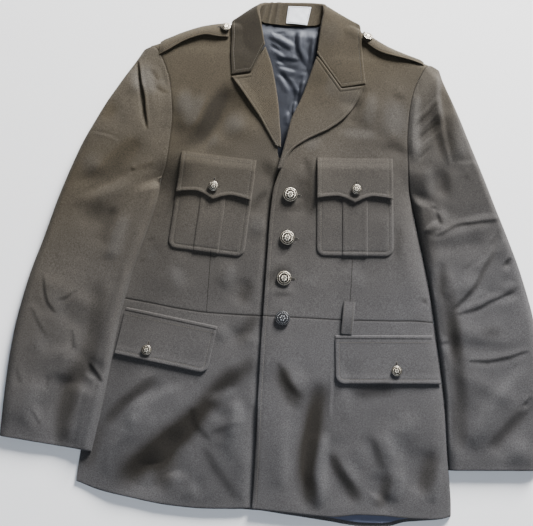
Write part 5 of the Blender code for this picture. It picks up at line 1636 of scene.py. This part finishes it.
class TUNIC_OT_sleeves(bpy.types.Operator):
    """Two-piece sleeves that lie beside the body"""

    bl_idname = "tunic.sleeves"
    bl_label = "Sleeves"

    def execute(self, context):
        v = spaced(690.0, (1.5, 3.5), HEMMED, PITCH) / 690.0
        u = spaced(150.0, SEAMED, (0.5, 1.2, 2.2, 3.6, 5.4, 7.6), PITCH) / 150.0
        for side in ("right", "left"):
            face, tone = top_sleeve_grid(side, u, v)
            wool_sheet(f"{side}_top_sleeve", face, CLOTH, [f"{side}_under_sleeve_cloth"],
                       turned=("high",), seams=("start",) if side == "left" else (), nap=tone)
            face = under_sleeve_grid(side, np.linspace(0, 1, 33), np.linspace(0, 1, 129))
            below = ["floor"] if side == "left" else ["floor", "right_front_cloth"]
            wool_sheet(f"{side}_under_sleeve", face, CLOTH, below, grow=1)
        return {"FINISHED"}


class TUNIC_OT_straps(bpy.types.Operator):
    """Shoulder straps"""

    bl_idname = "tunic.straps"
    bl_label = "Straps"

    def execute(self, context):
        v = spaced(112.0, TURNED, (0.7, 1.5, 3.0), 1.6) / 112.0
        s = spaced(28.0, (0.3, 0.8, 1.6, 2.8, 4.2, 5.4, 7.0), (0.6, 1.4), 1.2) / 28.0
        for side, table in (("right", RIGHT_STRAP), ("left", LEFT_STRAP)):
            face = strap_grid(side, table, s, v)
            outer, up = wool_sheet(f"{side}_strap", face, STRAP_THICK, [f"{side}_front_cloth"],
                                   grow=1, turned=("low",), upper=(len(v) // 2, 2))
            sew(f"{side}_strap",
                [inset_line(outer, up, edge, STRAP_STITCH_IN) for edge in ("start", "low")])
        return {"FINISHED"}


class TUNIC_OT_breast_pockets(bpy.types.Operator):
    """Patch breast pockets with a box pleat"""

    bl_idname = "tunic.breast_pockets"
    bl_label = "Breast pockets"

    def execute(self, context):
        outline, pleat = pocket_outline(), 0.5 * PLEAT_WIDTH
        depth = POCKET_DEPTH - spaced(POCKET_DEPTH - POCKET_TOP, TURNED, (), WIDE_PITCH)[::-1]
        depth[0] = POCKET_TOP
        beside = spaced(0.5 * POCKET_WIDTH - pleat, (0.5, 1.3, 2.6), TURNED, WIDE_PITCH, 2) + pleat
        middle = spaced(pleat, (), (0.4, 1.1, 2.2, 4.0), WIDE_PITCH, 2)
        across = np.concatenate((middle[:-1], beside))
        local_x, local_y = pocket_plan(depth, np.concatenate((-across[:0:-1], across)))
        rim = line_distance(local_x, local_y, outline)
        puff = edge_relief(rim, True)
        raised = PLEAT_RISE * smooth((pleat + 0.35 - np.abs(local_x)) / 0.7)
        roll = 0.35 * bell(np.abs(local_x) - pleat + 3.5, 2.6)
        for side, *place in BREAST_POCKETS:
            x, y = in_plan(local_x, local_y, *place)
            height = side_top(side)(x, y) + GAP + BEND_CLEAR + raised + roll + puff
            outer, up = wool_sheet(
                f"{side}_breast_pocket", np.stack((x, y, height), axis=-1), POCKET_THICK,
                [f"{side}_front_cloth"], grow=1, nap=BODY_RELIEF.tone(x, y), rim=rim,
            )
            line = offset_line(outline, -STITCH_IN)
            line = np.stack(in_plan(line[:, 0], line[:, 1], *place), axis=1)
            sew(f"{side}_breast_pocket", [plan_line_on(outer, up, line)])
        return {"FINISHED"}


class TUNIC_OT_breast_flaps(bpy.types.Operator):
    """Scalloped flaps of the breast pockets"""

    bl_idname = "tunic.breast_flaps"
    bl_label = "Breast flaps"

    def execute(self, context):
        scallop = read_rows(BREAST_FLAP_EDGE, np.linspace(0, 1, 60))
        reach = BREAST_FLAP_EDGE[-1][0]
        half = spaced(reach, (), TURNED, 1.8, 2)
        across = np.concatenate((-half[:0:-1], half))
        drop = np.interp(np.abs(across), scallop[:, 0], scallop[:, 1])
        share = spaced(66.0, (1.0, 2.2), TURNED, 1.8) / 66.0
        depth = drop[None, :] * share[:, None]
        local_x = across[None, :] + 0.0 * depth
        ends = np.stack((np.full(20, reach), np.linspace(0.0, scallop[-1, 1], 20)), axis=1)
        right = np.concatenate((ends[:-1], scallop[::-1]))
        outline = np.concatenate((right, right[-2::-1] * (-1.0, 1.0))) * (1.0, -1.0)
        rim = line_distance(local_x, -depth, outline)
        puff = edge_relief(rim, True)
        for side, *place in BREAST_POCKETS:
            x, y = in_plan(local_x, -depth, *place)
            height = flap_height(side, x, y, depth) + puff - 0.5 * bell(depth, 2.0)
            outer, up = wool_sheet(
                f"{side}_breast_flap", np.stack((x, y, height), axis=-1), FLAP_THICK,
                [f"{side}_breast_pocket_cloth"], nap=BODY_RELIEF.tone(x, y), rim=rim,
            )
            line = offset_line(outline, -STITCH_IN)
            line = line[line[:, 1] < -1.0]
            top = np.array(((-reach + 1, -STITCH_IN), (reach - 1, -STITCH_IN)))
            sew(f"{side}_breast_flap", [
                plan_line_on(outer, up, np.stack(in_plan(part[:, 0], part[:, 1], *place), axis=1))
                for part in (line, top)
            ])
        return {"FINISHED"}


def make_welt(side, start, out, down, width):
    """Narrow piped edge along the top of a side flap."""
    strip = spaced(WELT_DEPTH - SEAM_GAP, (0.4, 1.0), (0.4, 1.0), 1.5) + SEAM_GAP
    run = spaced(width, (1.0, 2.0), (1.0, 2.0), 2.4)
    plan = start + out * run[None, :, None] - down * (strip[:, None] + 0.0 * run)[..., None]
    height = side_flap_height(side, plan[..., 0], plan[..., 1], 0.0) - FLAP_THICK + WELT_THICK
    height = height - WELT_SINK * smooth(strip / WELT_DEPTH)[:, None]
    welt, _, _ = wool_wall(f"{side}_welt", with_height(plan, height), WELT_THICK,
                           turned=("low", "high", "start", "end"))
    return attach(welt, "wool", f"{side}_welt")


def make_side_flap(side, start, out, down, width, welt):
    """Flap from its welt down to a straight lower edge with one rounded corner."""
    corner, depth = SIDE_FLAP_CORNER, SIDE_FLAP_DEPTH
    along = spaced(width, TURNED, (1.0, 2.5), 1.9)
    share = spaced(depth, (1.0, 2.0), TURNED, 1.9) / depth
    into = np.clip(1.0 - along / corner, 0.0, 1.0)
    drop = depth - corner * (1.0 - np.sqrt(1.0 - into**2))
    reach = drop[None, :] * share[:, None]
    flare = FLAP_FLARE * (along / width)[None, :] * (reach / depth) if side == "left" else 0.0
    across = along[None, :] + flare + 0.0 * reach
    plan = start + out * across[..., None] + down * reach[..., None]
    turn = np.radians(np.linspace(0.0, 90.0, 9))
    outline = np.concatenate((
        np.stack((np.zeros(12), np.linspace(0.0, depth - corner - 2, 12)), axis=1),
        np.stack((corner * (1 - np.cos(turn)), depth - corner * (1 - np.sin(turn))), axis=1),
        np.stack((np.linspace(corner + 2, width, 20), np.full(20, depth)), axis=1),
    ))
    x, y = plan[..., 0], plan[..., 1]
    rim = line_distance(along[None, :] + 0.0 * reach, reach, outline)
    height = side_flap_height(side, x, y, reach) + edge_relief(rim, True)
    outer, up = wool_sheet(
        f"{side}_side_flap", with_height(plan, height), FLAP_THICK, [f"{side}_skirt_cloth"],
        [welt], nap=BODY_RELIEF.tone(x, y), rim=rim,
    )
    lines = []
    for line in (offset_line(outline, -STITCH_IN), offset_line(outline, STITCH_IN)):
        on_flap = (line[:, 0] > 0) & (line[:, 0] < width) & (line[:, 1] > 1) & (line[:, 1] < depth)
        if on_flap.sum() > 5:
            lines.append(line[on_flap])
    lines.append(np.array(((2.0, 5.4), (width - 2.0, 5.4))))
    sew(f"{side}_side_flap", [
        plan_line_on(outer, up, start + out * line[:, :1] + down * line[:, 1:]) for line in lines
    ])


class TUNIC_OT_side_flaps(bpy.types.Operator):
    """Side pocket flaps and the welts they hang from"""

    bl_idname = "tunic.side_flaps"
    bl_label = "Side flaps"

    def execute(self, context):
        for side, *ends in SIDE_FLAPS:
            place = side_flap_frame(*ends)
            make_side_flap(side, *place, make_welt(side, *place))
        return {"FINISHED"}


class TUNIC_OT_belt_loop(bpy.types.Operator):
    """Belt loop on the left side of the waist"""

    bl_idname = "tunic.belt_loop"
    bl_label = "Belt loop"

    def execute(self, context):
        across = spaced(LOOP_WIDTH, TURNED[:5], TURNED[:5], 1.4) - 0.5 * LOOP_WIDTH
        along = spaced(LOOP_LENGTH, (0.5, 1.4), (0.5, 1.4), 1.4)[:, None] / LOOP_LENGTH
        x = LOOP_X + across[None, :] - 2.0 * along
        y = LOOP_Y - LOOP_LENGTH * along + 0.0 * across[None, :]
        height = left_top(x, y) + GAP + 0.3 + CLOTH + LOOP_ARCH * np.sin(math.pi * along)
        outer, up = wool_sheet("belt_loop", np.stack((x, y, height), axis=-1), CLOTH,
                               ["left_front_cloth", "left_skirt_cloth"], turned=("start", "end"))
        sew("belt_loop", [inset_line(outer, up, edge, LOOP_STITCH_IN) for edge in ("start", "end")])
        return {"FINISHED"}


class TUNIC_OT_label(bpy.types.Operator):
    """Bare label on the inside of the neck"""

    bl_idname = "tunic.label"
    bl_label = "Label"

    def execute(self, context):
        corners = np.array(LABEL_CORNERS, dtype=float)
        v, u = np.linspace(0, 1, 25)[:, None, None], np.linspace(0, 1, 33)[None, :, None]
        low = corners[0] + (corners[1] - corners[0]) * u
        high = corners[3] + (corners[2] - corners[3]) * u
        plan = low + (high - low) * v
        buckle = 0.35 * soft_noise(plan[..., 0], plan[..., 1], 9.0, 91)
        arch, waves = np.sin(math.pi * u[..., 0]), np.sin(math.pi * v[..., 0])
        height = LABEL_LEVEL + 0.8 * arch + buckle * waves
        made, outer, up = cloth_wall(
            "label_cloth_piece", with_height(plan + LABEL_SHIFT, height), LABEL_THICK,
            made_material("label_weave", label_cloth), grow=1,
        )
        declare(made, "label", "label_cloth", outer)
        sew("label", sewn_lines(outer, up, ("start", "end", "low", "high"), LABEL_STITCH_IN))
        return {"FINISHED"}


def button_seat(name):
    """Centre, upright direction and radius of a button on its cloth."""
    x, y, radius, side, stack = next(row[1:] for row in BUTTONS if row[0] == name)
    top, step = side_top(side), 4.0
    slope = np.array([
        float(top(x + step, y) - top(x - step, y)), float(top(x, y + step) - top(x, y - step)),
    ]) / (2.0 * step)
    upright = Vector((-slope[0], -slope[1], 1.0)).normalized()
    return np.array((x, y, float(top(x, y)) + stack + GAP)), upright, radius


def make_button(name, finish, slot, around, rings, petals):
    """Domed button, flatter where it is smaller. Over the share s of the radius its
    height is a dome, falling with s squared, a rosette of petals inside, a ring of
    slanting leaves, and a twisted rope on the rim: bells in s times waves round it."""
    seat, upright, radius = button_seat(name)
    relief_height = bpy.context.scene.tunic_buttons.relief / MM * radius / FRONT_BUTTON
    share = np.linspace(0.0, 1.0, rings + 1)[1:][:, None]
    angle = 2.0 * math.pi * np.arange(around)[None, :] / around
    squat = 0.55 + 0.45 * radius / FRONT_BUTTON
    dome = squat * (3.25 + 1.75 * (1.0 - share**2)) - 0.35 * smooth((share - 0.93) / 0.07)
    knob = 0.9 * bell(share, 0.09)
    flower = np.abs(np.cos(petals / 2 * angle)) ** 0.7 * bell(share - 0.3, 0.15)
    leaves = (0.5 + 0.5 * np.cos(3 * petals * angle + 9.0 * share)) * bell(share - 0.67, 0.1)
    rope = (0.65 + 0.35 * np.cos(5 * petals * angle + 26.0 * share)) * bell(share - 0.91, 0.065)
    relief = relief_height * (flower + knob + leaves + rope - 0.25)
    back_share, back_height = np.array(BUTTON_BACK).T[..., None]
    reach = radius * np.concatenate((share, back_share))
    height = np.concatenate((dome + relief, back_height + 0.0 * angle))
    rows = np.stack((reach * np.cos(angle), reach * np.sin(angle), height), axis=-1)
    points = np.concatenate((((0.0, 0.0, height[0, 0]),), rows.reshape(-1, 3)))
    tall = len(rows)
    ring, step = 1 + np.arange(tall - 1)[:, None] * around, np.arange(around)[None, :]
    after = (step + 1) % around
    below = ring + around
    quads = np.stack((ring + step, below + step, below + after, ring + after), axis=-1)
    cap = [[0, 1 + j, 1 + (j + 1) % around] for j in range(around)]
    last = 1 + (tall - 1) * around
    faces = quads.reshape(-1, 4).tolist() + cap + [list(range(last + around - 1, last - 1, -1))]
    turn = np.array(upright.to_track_quat("Z", "Y").to_matrix())
    made = finish_mesh(f"{name}_piece", points @ turn.T + seat, faces, finish, smooth_angle=60.0)
    plain = np.full(back_share.size * around, -0.1)
    values = np.concatenate((relief[0, :1], relief.ravel(), plain))
    keep_value(made, "relief", values / max(relief_height, 1e-6) * 0.3)
    attach(made, slot, name)


class TUNIC_OT_front_buttons(bpy.types.Operator):
    """Front buttons: three of metal and the lowest of black plastic"""

    bl_idname = "tunic.front_buttons"
    bl_label = "Front buttons"

    def execute(self, context):
        metal = made_material("aged_metal", aged_metal)
        plastic = made_material("black_plastic", black_plastic)
        for number in (1, 2, 3):
            make_button(f"front_button_{number}", metal, "button_metal", 160, 26, 8)
        make_button("front_button_4", plastic, "button_plastic", 160, 26, 6)
        return {"FINISHED"}


class TUNIC_OT_small_buttons(bpy.types.Operator):
    """Buttons of the pockets and straps"""

    bl_idname = "tunic.small_buttons"
    bl_label = "Small buttons"

    def execute(self, context):
        metal = made_material("aged_metal", aged_metal)
        for name, _, _, radius, _, _ in BUTTONS:
            if radius == POCKET_BUTTON:
                make_button(name, metal, "button_metal", 120, 18, 6)
        return {"FINISHED"}


class TUNIC_OT_buttonholes(bpy.types.Operator):
    """Sewn buttonholes that show beside the buttons"""

    bl_idname = "tunic.buttonholes"
    bl_label = "Buttonholes"

    def execute(self, context):
        slots, cords = [], []
        round_end = np.radians(np.linspace(-90.0, 90.0, 9))
        for name, cloth, degrees in BUTTONHOLES:
            x, y, radius = next(row[1:4] for row in BUTTONS if row[0] == name)
            turn = math.radians(degrees)
            ahead = np.array((math.cos(turn), math.sin(turn)))
            aside = np.array((-math.sin(turn), math.cos(turn)))
            hidden, end = 0.4 * radius, radius + HOLE_SHOWS
            along = np.array((hidden, *(end + HOLE_HALF * np.cos(round_end)), hidden))
            across = np.array((-HOLE_HALF, *(HOLE_HALF * np.sin(round_end)), HOLE_HALF))
            outline = np.array((x, y)) + ahead * along[:, None] + aside * across[:, None]
            middle = np.array((x, y)) + ahead * np.array((hidden, end - 0.2))[:, None]
            cords.append(plan_line_on(*SURFACES[cloth], outline))
            slots.append(plan_line_on(*SURFACES[cloth], middle))
        stitches("buttonhole_cords", cords, made_material("thread", thread), 0.8, 1.0, 0.34)
        # dark strips of painted shade in the slits
        stitches("buttonhole_slot_shade", slots, made_material("dark_cloth", dark_cloth), 2.0, 2.6, 0.55)
        return {"FINISHED"}


class TUNIC_OT_stage(bpy.types.Operator):
    """Floor, soft studio lights and the camera"""

    bl_idname = "tunic.stage"
    bl_label = "Stage"

    def execute(self, context):
        scene = context.scene
        stage, reach = scene.tunic_stage, 4.0
        mesh = bpy.data.meshes.new("floor")
        corners = [(-reach, -reach, 0), (reach, -reach, 0), (reach, reach, 0), (-reach, reach, 0)]
        mesh.from_pydata(corners, [], [(0, 1, 2, 3)])
        paint = Nodes("floor_paint").finish(Base_Color=(*stage.floor_color, 1.0), Roughness=0.8)
        mesh.materials.append(paint)
        floor = bpy.data.objects.new("floor", mesh)
        scene.collection.objects.link(floor)
        for name, place, size, power, color in (
            ("key", (1.3, 3.4, 1.3), 1.3, stage.key_power, (0.97, 0.96, 0.95)),
            ("fill", (0.1, -0.9, 1.6), 1.2, stage.fill_power, (0.75, 0.85, 1.0)),
        ):
            light = bpy.data.lights.new(name, "AREA")
            light.shape, light.size, light.energy, light.color = "SQUARE", size, power, color
            lamp = bpy.data.objects.new(name, light)
            lamp.location = place
            lamp.rotation_mode = "QUATERNION"
            lamp.rotation_quaternion = Vector(place).to_track_quat("Z", "Y")
            scene.collection.objects.link(lamp)
        scene.world = bpy.data.worlds.new("studio")
        scene.world.use_nodes = True
        sky = scene.world.node_tree.nodes["Background"].inputs
        sky["Color"].default_value, sky["Strength"].default_value = (1.0, 1.0, 1.0, 1.0), 0.12

        camera = bpy.data.objects.new("camera", bpy.data.cameras.new("camera"))
        camera.data.lens, camera.data.sensor_width = stage.lens, 36.0
        camera.data.dof.use_dof = False
        vertical = Vector((0.0, 0.0, 1.0))
        up = Vector((-math.sin(stage.roll), math.cos(stage.roll), 0.0))
        backward = vertical * math.cos(stage.tilt) - up * math.sin(stage.tilt)
        right = up.cross(vertical).normalized()
        turn = np.array((right, backward.cross(right), backward)).T
        camera.location = Vector(-CENTRE * MM) + backward * stage.distance
        camera.rotation_mode = "QUATERNION"
        camera.rotation_quaternion = Matrix(turn.tolist()).to_quaternion()
        scene.collection.objects.link(camera)
        scene.camera = camera
        return {"FINISHED"}


OPERATORS = (
    TUNIC_OT_stage, TUNIC_OT_back, TUNIC_OT_lining, TUNIC_OT_fronts, TUNIC_OT_skirts,
    TUNIC_OT_lapels, TUNIC_OT_collar, TUNIC_OT_sleeves, TUNIC_OT_straps,
    TUNIC_OT_breast_pockets, TUNIC_OT_breast_flaps, TUNIC_OT_side_flaps, TUNIC_OT_belt_loop,
    TUNIC_OT_label, TUNIC_OT_front_buttons, TUNIC_OT_small_buttons, TUNIC_OT_buttonholes,
)
GROUPS = (("tunic_cloth", TunicCloth), ("tunic_buttons", TunicButtons), ("tunic_stage", TunicStage))


class TUNIC_PT_panel(bpy.types.Panel):
    """Settings and pieces of the tunic"""

    bl_idname = "TUNIC_PT_panel"
    bl_label = "Dress Tunic"
    bl_space_type = "VIEW_3D"
    bl_region_type = "UI"
    bl_category = "Tunic"

    def draw(self, context):
        for name, group in GROUPS:
            column = self.layout.column(align=True)
            for setting in group.__annotations__:
                column.prop(getattr(context.scene, name), setting)
        column = self.layout.column(align=True)
        for operator in OPERATORS:
            column.operator(operator.bl_idname)


def register():
    for name, group in GROUPS:
        bpy.utils.register_class(group)
        setattr(bpy.types.Scene, name, PointerProperty(type=group))
    for made in (*OPERATORS, TUNIC_PT_panel):
        bpy.utils.register_class(made)


def unregister():
    for made in reversed((*OPERATORS, TUNIC_PT_panel)):
        bpy.utils.unregister_class(made)
    for name, group in reversed(GROUPS):
        delattr(bpy.types.Scene, name)
        bpy.utils.unregister_class(group)


def main():
    register()
    for operator in OPERATORS:
        group, name = operator.bl_idname.split(".")
        getattr(getattr(bpy.ops, group), name)()


if __name__ == "__main__":
    main()
